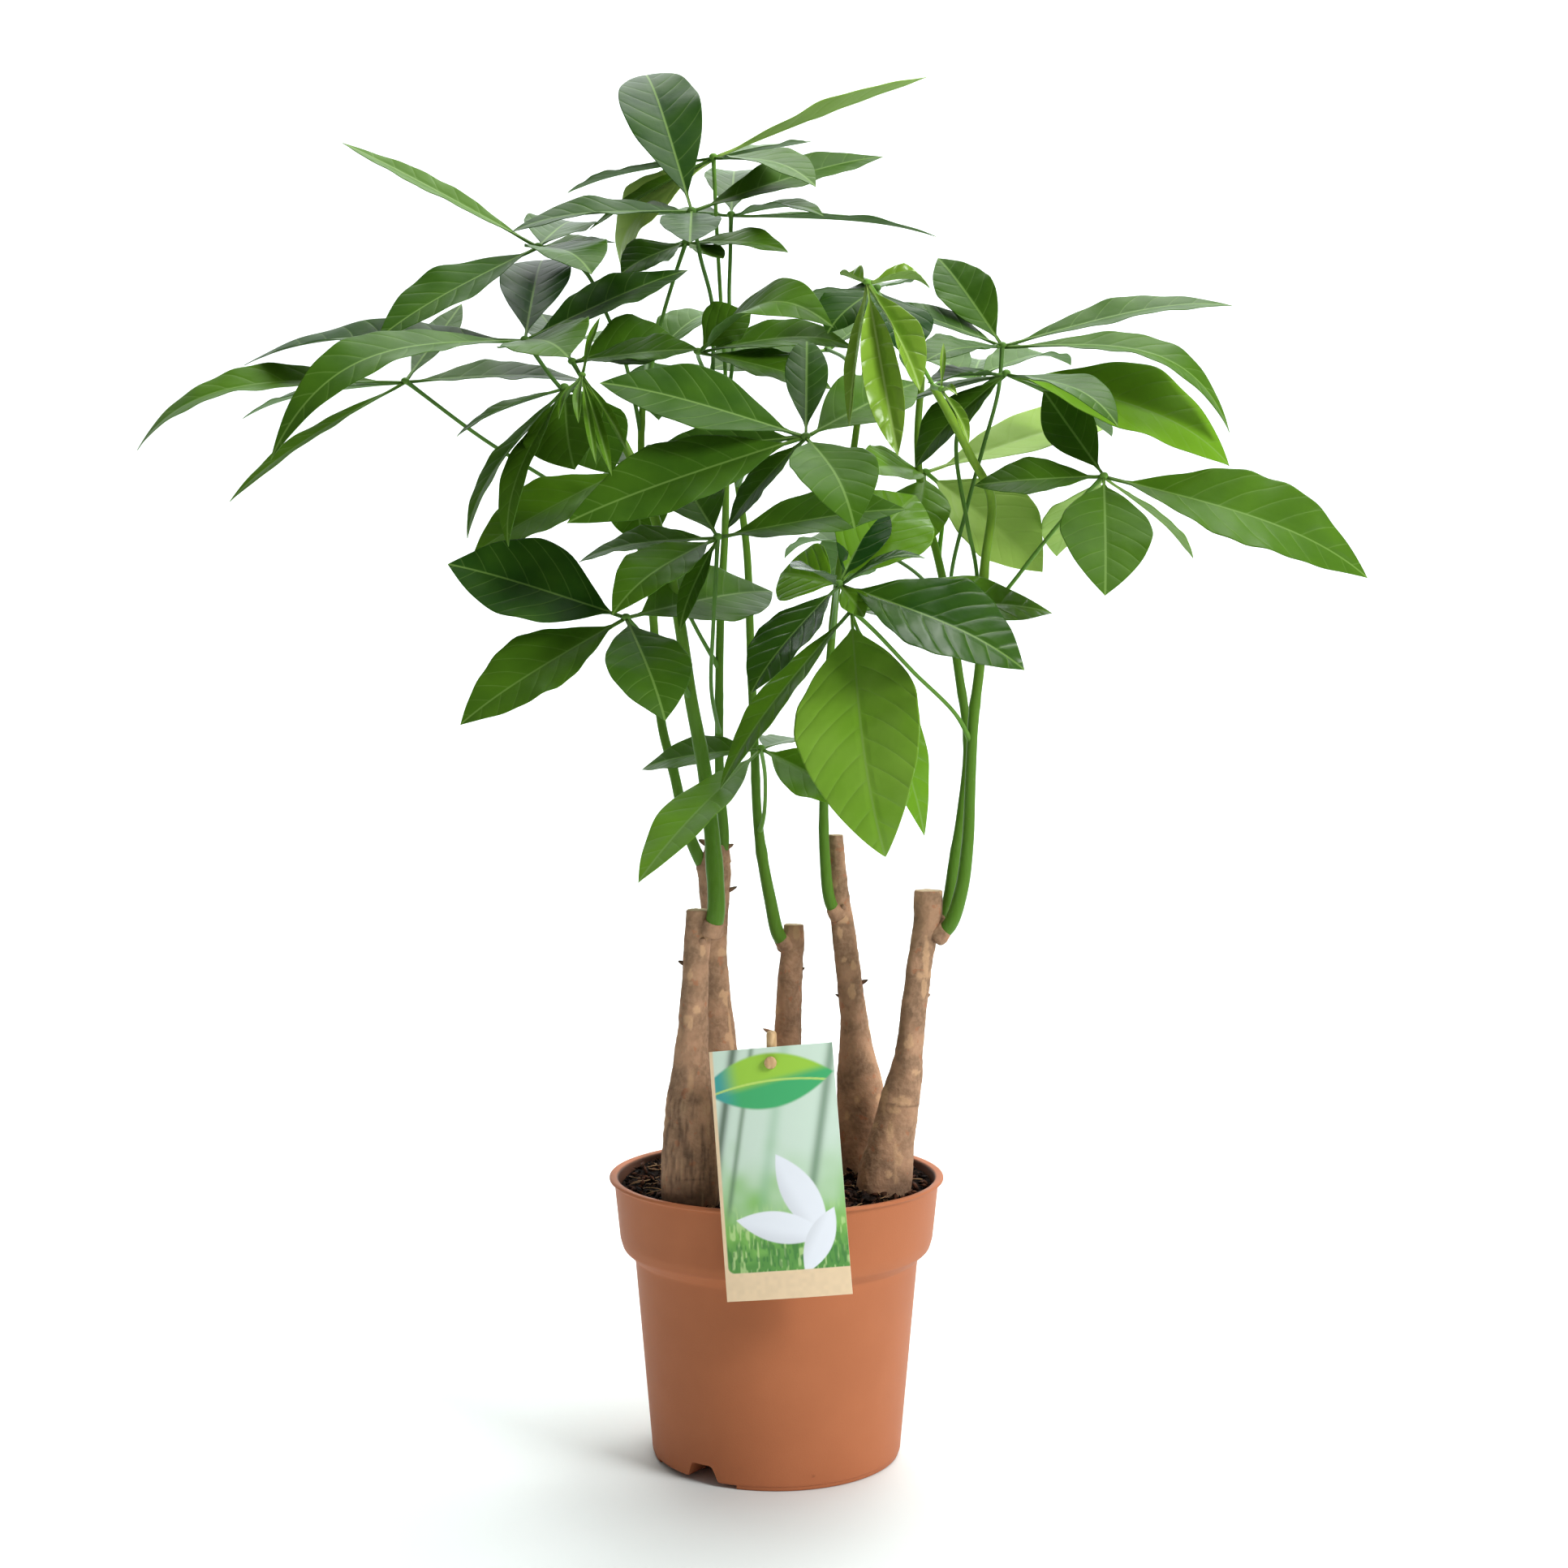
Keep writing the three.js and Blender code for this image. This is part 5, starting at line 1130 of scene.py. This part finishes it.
def vein_group():
    """Veins of a blade from its own mark (millimetres across, vein count, lightness). A side vein
    runs where the count is whole, nearly half a step later on the right; Rib is the midrib, and Quilt
    is the height of the pillow between two veins."""
    group, given, result = empty_group("leaf_veins", {"Blade": "Vector"},
                                       dict.fromkeys(("Rib", "Vein", "Quilt", "Light"), "Float"))
    across, count, light = node(group, "SeparateXYZ", {0: given["Blade"]}).outputs

    def soft_edge(value, low, high):
        """A mask that climbs smoothly from 0 to 1 as the value goes from low to high."""
        feeds = {"Value": value, "From Min": low, "From Max": high}
        return node(group, "MapRange", feeds, interpolation_type="SMOOTHSTEP").outputs[0]

    distance = reckon(group, "ABSOLUTE", across)
    on_right = reckon(group, "GREATER_THAN", across, 0.0)
    step = reckon(group, "FRACT", reckon(group, "MULTIPLY_ADD", on_right, 0.45, count))
    from_middle = reckon(group, "ABSOLUTE", reckon(group, "MULTIPLY_ADD", step, 2.0, -1.0))
    pillow = reckon(group, "SUBTRACT", 1.0, reckon(group, "POWER", from_middle, VEIN_SHARPNESS))
    quilt = reckon(group, "MULTIPLY", pillow, soft_edge(distance, 0.4, 3.5))
    group.links.new(soft_edge(distance, 0.75, 0.3), result["Rib"])
    group.links.new(soft_edge(from_middle, 0.9, 0.985), result["Vein"])
    group.links.new(quilt, result["Quilt"])
    group.links.new(light, result["Light"])
    return group


# Painted glow: a yellow-green laid over a leaflet where its lightness goes above 1, in place of light shining
# through it from behind.
BACKLIT = (0.40, 0.58, 0.13)
UNDERSIDE_ROUGHNESS = 0.55
LEAF_RELIEF = 0.0006
veins = vein_group()


def leaf_material(name, dark, light, vein_tint, under, gloss, shine, quilt):
    """A leaf's skin: upper side from dark to light by its mark, veins, a duller underside, quilting;
    gloss is its roughness on top, shine its specular level."""
    material, shader = plain_material(name, dark, 0.35, shine)
    tree = material.node_tree
    place = object_place(tree)
    blade = node(tree, "Attribute", attribute_name="blade").outputs["Vector"]
    beneath = mark_value(tree, "under")
    vein = node(tree, "Group", {"Blade": blade}, node_tree=veins).outputs
    clouds = speckles(tree, place, 45, 0.3, 0.4)
    cells = speckles(tree, place, 900, 0.35, 0.3)
    # Lightness is the leaflet's own tone with painted light and shade in it, varied by clouds of noise.
    cloudy = reckon(tree, "SUBTRACT", clouds["Noise"], 0.5)
    lightness = reckon(tree, "MULTIPLY_ADD", cloudy, 0.35, vein["Light"])
    colour = blend_colours(tree, lightness, dark, light)
    colour = tinted(tree, colour, vein["Vein"], reckon(tree, "MULTIPLY", clouds["Noise"], 0.45), vein_tint)
    colour = tinted(tree, colour, vein["Rib"], 0.6, vein_tint)
    colour = tinted(tree, colour, beneath, 0.75, under)
    # Painted glow of light through the leaflet from behind, where its lightness is above 1.
    colour = blend_colours(tree, reckon(tree, "SUBTRACT", lightness, 1.0), colour, BACKLIT)
    tree.links.new(colour, shader.inputs["Base Color"])
    rough = node(tree, "MapRange", {"Value": beneath, "To Min": gloss, "To Max": UNDERSIDE_ROUGHNESS})
    tree.links.new(rough.outputs[0], shader.inputs["Roughness"])
    swell = reckon(tree, "MULTIPLY", clouds["Noise"], 1.2)
    height = reckon(tree, "MULTIPLY_ADD", vein["Quilt"], quilt, swell)
    height = reckon(tree, "MULTIPLY_ADD", cells["Noise"], 0.05, height)
    roughen(tree, shader, height, LEAF_RELIEF, 0.7)
    return material


MATURE_TINTS = (0.010, 0.048, 0.005), (0.14, 0.31, 0.014), (0.19, 0.33, 0.07), (0.085, 0.17, 0.045)
LIME_TINTS = (0.12, 0.25, 0.02), (0.19, 0.34, 0.03), (0.36, 0.52, 0.14), (0.24, 0.38, 0.09)
STALK = (0.06, 0.15, 0.035)
STALK_DARK, STALK_LIGHT = (0.06, 0.14, 0.03), (0.17, 0.36, 0.05)
STALK_WORN = (0.09, 0.12, 0.045)
mature_leaf = leaf_material("mature_leaf", *MATURE_TINTS, gloss=0.38, shine=0.05, quilt=0.4)
shiny_leaf = leaf_material("shiny_leaf", *MATURE_TINTS, gloss=0.27, shine=0.17, quilt=0.8)
new_leaf = leaf_material("new_leaf", *LIME_TINTS, gloss=0.22, shine=0.3, quilt=1.6)
skin_of = {**dict.fromkeys(SHINY, shiny_leaf), **dict.fromkeys(LIME, new_leaf)}
stalk_green, shader = plain_material("stalk_green", STALK, 0.5, 0.1)
tree = stalk_green.node_tree
worn = speckles(tree, object_place(tree), 160, 0.45, 0.3)
# The stalk's green follows its leaflets' mean lightness, which holds painted light and shade.
colour = blend_colours(tree, mark_value(tree, "light"), STALK_DARK, STALK_LIGHT)
colour = tinted(tree, colour, worn["Mask"], 0.3, STALK_WORN)
tree.links.new(colour, shader.inputs["Base Color"])


def unit(vector):
    """The vector at length 1."""
    return vector / np.linalg.norm(vector)


def wave(turns):
    """A sine wave of so many turns."""
    return np.sin(2 * math.pi * turns)


def blade_skin(hub, row, fold_degrees, draws):
    """A leaflet: its midrib bows from the joint to its tip as share - share^4, so that the bow value
    brings its highest point to the arch; its half width grows as a quarter sine up to the widest place
    and then falls as (1 - t^1.7) to the tip power; both halves rise from the midrib by the fold, droop
    at the rim and ripple along it; a rib thickens it underneath. Its mark counts side veins, which run
    slanting to the tip and curve towards the rim."""
    x, y, z, width, tilt, turn, arch, light = row[:8]
    tip_power, widest = [*row[8:], *(TIP_POWER, BLADE_WIDEST)[len(row) - 8:]]
    tip = seen((x, y, z))
    along = unit(tip - hub)
    root = hub + along * ROOT_OFFSET
    length = np.linalg.norm(tip - root)
    lean, swing, rise = np.radians([tilt, turn, fold_degrees])
    face = np.array([math.sin(swing) * math.sin(lean), -math.cos(swing) * math.sin(lean), math.cos(lean)])
    above = unit(face - along * face.dot(along))
    side = np.cross(along, above)
    share = np.sin(np.linspace(0, math.pi / 2, int(np.clip(length / 2, 22, 76))))
    midrib = root + (tip - root) * share[:, None] + above * (arch * BLADE_BOW * (share - share**4))[:, None]
    upper = np.cross(side, headings(midrib))[:, None]
    share = share[:, None]

    widening = np.clip((share - BLADE_START) / (widest - BLADE_START), 0, 1)
    narrowing = np.clip((share - widest) / (1 - widest), 0, 1)
    half = 0.5 * width * np.sin(math.pi / 2 * widening) * (1 - narrowing**1.7) ** tip_power
    half = np.maximum(half, np.where(share < 0.3, 0.7, 0.12))
    fold = rise * (1 - 0.7 * smooth_step(0.5, 1, share))
    phase = draws.random(6)
    waves = draws.uniform(*BLADE_WAVES, 2)
    amount = np.abs(ACROSS)
    ripple = np.where(ACROSS < 0, wave(waves[0] * share + phase[0]), wave(waves[1] * share + phase[1]))
    ripple = ripple + 0.5 * wave(2.3 * waves[0] * share + phase[2] + 0.4 * np.sign(ACROSS))
    twist = math.radians(BLADE_TWIST * (phase[3] - 0.5)) * (share - 0.3)
    section = 1.2 * (np.sqrt(ACROSS**2 + 0.01) - 0.1) - BLADE_DROOP * amount**3
    raised = half * (np.sin(fold) * section + np.sin(twist) * ACROSS)
    raised = raised + BLADE_RIPPLE * half * amount**2 * ripple * np.sin(math.pi * share) ** 0.5
    across = half * np.cos(fold) * ACROSS
    top = midrib[:, None] + side * across[..., None] + upper * raised[..., None]

    stem_part = smooth_step(*STEM_FADE, share)
    rib = RIB_DEPTH * np.exp(-((across / RIB_HALF_WIDTH) ** 2)) * (1 - 0.8 * share)
    thickness = BLADE_THICKNESS * (1 - 0.5 * smooth_step(0.9, 1, share))
    thickness = thickness + STEM_THICKNESS * stem_part + rib * (1 - stem_part)
    under = top - upper * (thickness * np.where(amount > 0.99, 0.6, 1))[..., None]
    slanting = VEIN_SLOPE * np.abs(across) + 0.9 * across**2 / np.maximum(width, 10)
    count = (share * length - slanting) / (VEIN_SPACING + 0.07 * length) + phase[4]
    lightness = light + 0.06 * (phase[5] - 0.5) + 0.08 * stem_part
    mark = np.stack([across, count, lightness + 0 * across], -1)
    beneath = np.concatenate([np.zeros(top.shape[:2]), np.ones(top.shape[:2])], 1)
    return loft(np.concatenate([top, under[:, ::-1]], 1),
                blade=np.concatenate([mark, mark[:, ::-1]], 1), under=beneath)


def joint_rings(hub, radius):
    """The joint at a stalk's top: a bead a little flatter than a ball, as circles from pole to pole."""
    polar = np.linspace(0.02, math.pi - 0.02, 9)
    return lathe(np.column_stack([radius * np.sin(polar), -0.8 * radius * np.cos(polar)]), 12) + hub


for number, (name, (shoot, height, stalk, joint, rows)) in enumerate(LEAVES.items()):
    young = name in YOUNG
    draws = np.random.default_rng(LEAF_SEED + number)
    shoot_path = shoot_paths[shoot]
    start = shoot_path[np.argmin(np.abs(shoot_path[:, 2] - height))]
    hub = seen(joint)
    path = climbing([start, *(seen(point) for point in stalk), hub], STALK_STEP)
    share = np.linspace(0, 1, len(path))
    length = STALK_STEP * len(path)
    radius = STALK_RADIUS + 0.8 * np.exp(-share * length / 6) + 0.35 * np.exp(-(1 - share) * length / 5)
    # The stalk and joint take the leaflets' mean lightness, painted light and shade included; the joint a
    # little lighter.
    light = float(np.mean([row[7] for row in rows]))
    skins = [loft(tube(path, radius, STALK_SIDES), 1, light=light),
             loft(joint_rings(hub, YOUNG_JOINT_RADIUS if young else JOINT_RADIUS), 1, light=light + 0.15)]
    skins += [blade_skin(hub, row, YOUNG_FOLD if young else BLADE_FOLD, draws) for row in rows]
    prefix, slot = ("new_", "young_leaf") if young else ("hand_", "leaf")
    put_piece(prefix + name, skins, [skin_of.get(name, mature_leaf), stalk_green], name)

# ------------------------------------------------------------------ card, stick and peg
# A printed cardboard card hangs on a thin wooden stick in the soil by a turned wooden peg and leans
# on the pot's rim. A kraft strip shows at its left and foot; the rest is a rounded picture of slanting
# soft stripes, white petals, grass and one broad green leaf.
CARD_WIDTH = 60
CARD_LENGTH = 118
CARD_THICKNESS = 0.8
CARD_CURL = 2.2
CARD_YAW = math.radians(9)
CARD_PAPER = (0.8, 0.75, 0.6)
PRINT_COLUMNS, PRINT_ROWS = 161, 315
BACK_STRIDE = 8

card_top = seen((-3.2, -77, 208.8))
card_foot = seen((6.8, -97.5, 78.5))
card_middle = (card_top + card_foot) / 2
down = unit(card_foot - card_top)
level = np.array([math.cos(CARD_YAW), -math.sin(CARD_YAW), 0])
right = unit(level - down * level.dot(down))
back = np.cross(right, down)
u = np.linspace(0, 1, PRINT_COLUMNS)[None, :]
v = np.linspace(1, 0, PRINT_ROWS)[:, None]


def srgb(red, green, blue):
    """A linear colour from the 0 to 255 values of a screen colour."""
    share = np.array([red, green, blue]) / 255
    return np.where(share <= 0.04045, share / 12.92, ((share + 0.055) / 1.055) ** 2.4)


def paint(canvas, mask, tint):
    """Lays a colour, one for all or one a place, over the canvas where the mask is 1."""
    return canvas + (tint - canvas) * mask[..., None]


def past_corner(place, middle, half, side):
    """How far a place lies past the start of the picture's rounded corner, along one side of the card;
    the picture's middle and half width are shares of that side."""
    return np.maximum(np.abs(place - middle) * side - half * side + PICTURE_CORNER, 0)


def petal(cu, cv, length, width, degrees, soft=0.02):
    """Mask of a pointed leaf shape on the card, centred at cu, cv: two arcs that meet at both ends.
    Also gives how far each place lies along it and across it."""
    a = math.radians(degrees)
    du, dv = (u - cu) * CARD_WIDTH, (v - cv) * CARD_LENGTH
    p, q = du * math.cos(a) + dv * math.sin(a), -du * math.sin(a) + dv * math.cos(a)
    inside = 1 - (2 * p / length) ** 2 - np.abs(2 * q / width)
    return smooth_step(-soft, soft * 3, inside), p, q


KRAFT, CARD_BACK = srgb(238, 211, 174), srgb(215, 205, 185)
HAZE, WHITE_PETAL = srgb(212, 232, 216), srgb(240, 244, 252)
MEADOW, DEEP_MEADOW = srgb(132, 192, 92), srgb(90, 150, 70)
PALE_GRASS, DARK_GRASS = srgb(205, 232, 160), srgb(60, 120, 60)
LEAF_LIME, LEAF_GREEN, LEAF_TEAL, LEAF_RIB = (
    srgb(160, 208, 70), srgb(70, 178, 112), srgb(70, 165, 160), srgb(205, 230, 120))
STRIPES = ((12, 2.2, 0.85, srgb(70, 92, 72)), (21, 1.4, 0.7, srgb(95, 125, 95)),
           (37, 3, 0.4, srgb(140, 190, 150)), (60, 2.4, 0.7, srgb(90, 125, 95)))
PETALS = (0.66, 0.60, 46, 17, 62), (0.48, 0.72, 44, 15, 12), (0.78, 0.78, 34, 13, 118)
PICTURE_MIDDLE = 0.54, 0.42
PICTURE_HALF = 0.51, 0.47
PICTURE_CORNER = 3

grid = np.stack(np.broadcast_arrays(u * CARD_WIDTH, v * CARD_LENGTH, 0 * u * v), -1)
picture = paint(HAZE, smooth_step(0.35, 0.75, v + 0.07 * lump(grid, 9, 61)), MEADOW)
picture = paint(picture, smooth_step(0.66, 0.9, v + 0.08 * lump(grid, 4, 62)), DEEP_MEADOW)
slant = u * CARD_WIDTH + 0.22 * v * CARD_LENGTH
for centre, wide, depth, tint in STRIPES:
    band = np.exp(-(((slant - centre) / wide) ** 2)) * depth * smooth_step(0.72, 0.6, v)
    picture = paint(picture, band, tint)
pale_grass = smooth_step(0.1, 0.5, lump(grid * [2.2, 0.5, 1], 2.2, 63)) * smooth_step(0.6, 0.72, v)
dark_grass = smooth_step(0.1, 0.5, lump(grid * [2, 0.6, 1], 1.7, 64)) * smooth_step(0.68, 0.8, v)
picture = paint(picture, 0.6 * pale_grass, PALE_GRASS)
picture = paint(picture, 0.6 * dark_grass, DARK_GRASS)
for cu, cv, length, width, degrees in PETALS:
    mask, p, q = petal(cu, cv, length, width, degrees)
    picture = paint(picture, mask, WHITE_PETAL * (1 - 0.14 * smooth_step(0, width * 0.5, q)[..., None]))
mask, p, q = petal(0.45, 0.135, 66, 27, -4, 0.03)
broad_leaf = paint(LEAF_LIME, smooth_step(-2, 3, q + 0.12 * p), LEAF_GREEN)
broad_leaf = paint(broad_leaf, smooth_step(-12, -24, p), LEAF_TEAL)
broad_leaf = paint(broad_leaf, smooth_step(0.7, 0.3, np.abs(q - 0.004 * p**2)) * 0.8, LEAF_RIB)
picture = paint(picture, mask, broad_leaf)
past_side = past_corner(u, PICTURE_MIDDLE[0], PICTURE_HALF[0], CARD_WIDTH)
past_end = past_corner(v, PICTURE_MIDDLE[1], PICTURE_HALF[1], CARD_LENGTH)
window = smooth_step(PICTURE_CORNER + 0.2, PICTURE_CORNER - 0.2, np.hypot(past_side, past_end))
print_colours = paint(KRAFT * (1 + 0.04 * lump(grid, 2, 60)[..., None]), window, picture)

card_x = (u[0] - 0.5) * CARD_WIDTH
card_down = (v - 0.5) * CARD_LENGTH
bow = CARD_CURL * (1 - (2 * card_x / CARD_WIDTH) ** 2)
front = card_middle + card_x[None, :, None] * right + card_down[..., None] * down - bow[None, :, None] * back
behind = front[:, ::-BACK_STRIDE] + CARD_THICKNESS * back
backing = np.broadcast_to(CARD_BACK, behind.shape)
card = loft(np.concatenate([front, behind], 1), ink=np.concatenate([print_colours, backing], 1))
card_paper, shader = plain_material("card_paper", CARD_PAPER, 0.42)
ink = node(card_paper.node_tree, "Attribute", attribute_name="ink").outputs["Vector"]
card_paper.node_tree.links.new(ink, shader.inputs["Base Color"])
put_piece("printed_card", [card], [card_paper], "label_card", sharp=40)

WOOD = (0.62, 0.40, 0.2)
WOOD_DARK, WOOD_LIGHT = (0.52, 0.32, 0.15), (0.70, 0.47, 0.25)
pale_wood, shader = plain_material("pale_wood", WOOD, 0.7)
tree = pale_wood.node_tree
stretched = node(tree, "Mapping", {"Vector": object_place(tree), "Scale": (1, 1, 0.1)}).outputs[0]
wood_grain = speckles(tree, stretched, 900, 0.4, 0.25)
colour = blend_colours(tree, wood_grain["Mask"], WOOD_DARK, WOOD_LIGHT)
tree.links.new(colour, shader.inputs["Base Color"])
stick_top, stick_foot = seen((-2.6, -76.5, 217)), np.array([0.0, -54, 70])
stick_run = np.array([0, 0.004, 0.01, 0.5, 0.99, 0.996, 1])[:, None]
stick_radii = [1.9, 2.3, 2.5, 2.5, 2.5, 2.3, 1.8]
stick = tube(stick_foot + (stick_top - stick_foot) * stick_run, stick_radii, 20)
put_piece("wooden_stick", [loft(stick)], [pale_wood], "label_stick", sharp=60)
peg_point = seen((-3.1, -79.5, 201.2))
peg_run = np.array([-3.6, -3.5, -3.2, -2.7, -2.1, -1.75, -1.7, 5.6, 5.9])[:, None]
peg_radii = [0.3, 1.6, 2.5, 3, 3, 2.7, 1.2, 1.2, 0.8]
peg = tube(peg_point + peg_run * [0, 1, 0], peg_radii, 28)
put_piece("wooden_peg", [loft(peg)], [pale_wood], "label_peg", sharp=60)
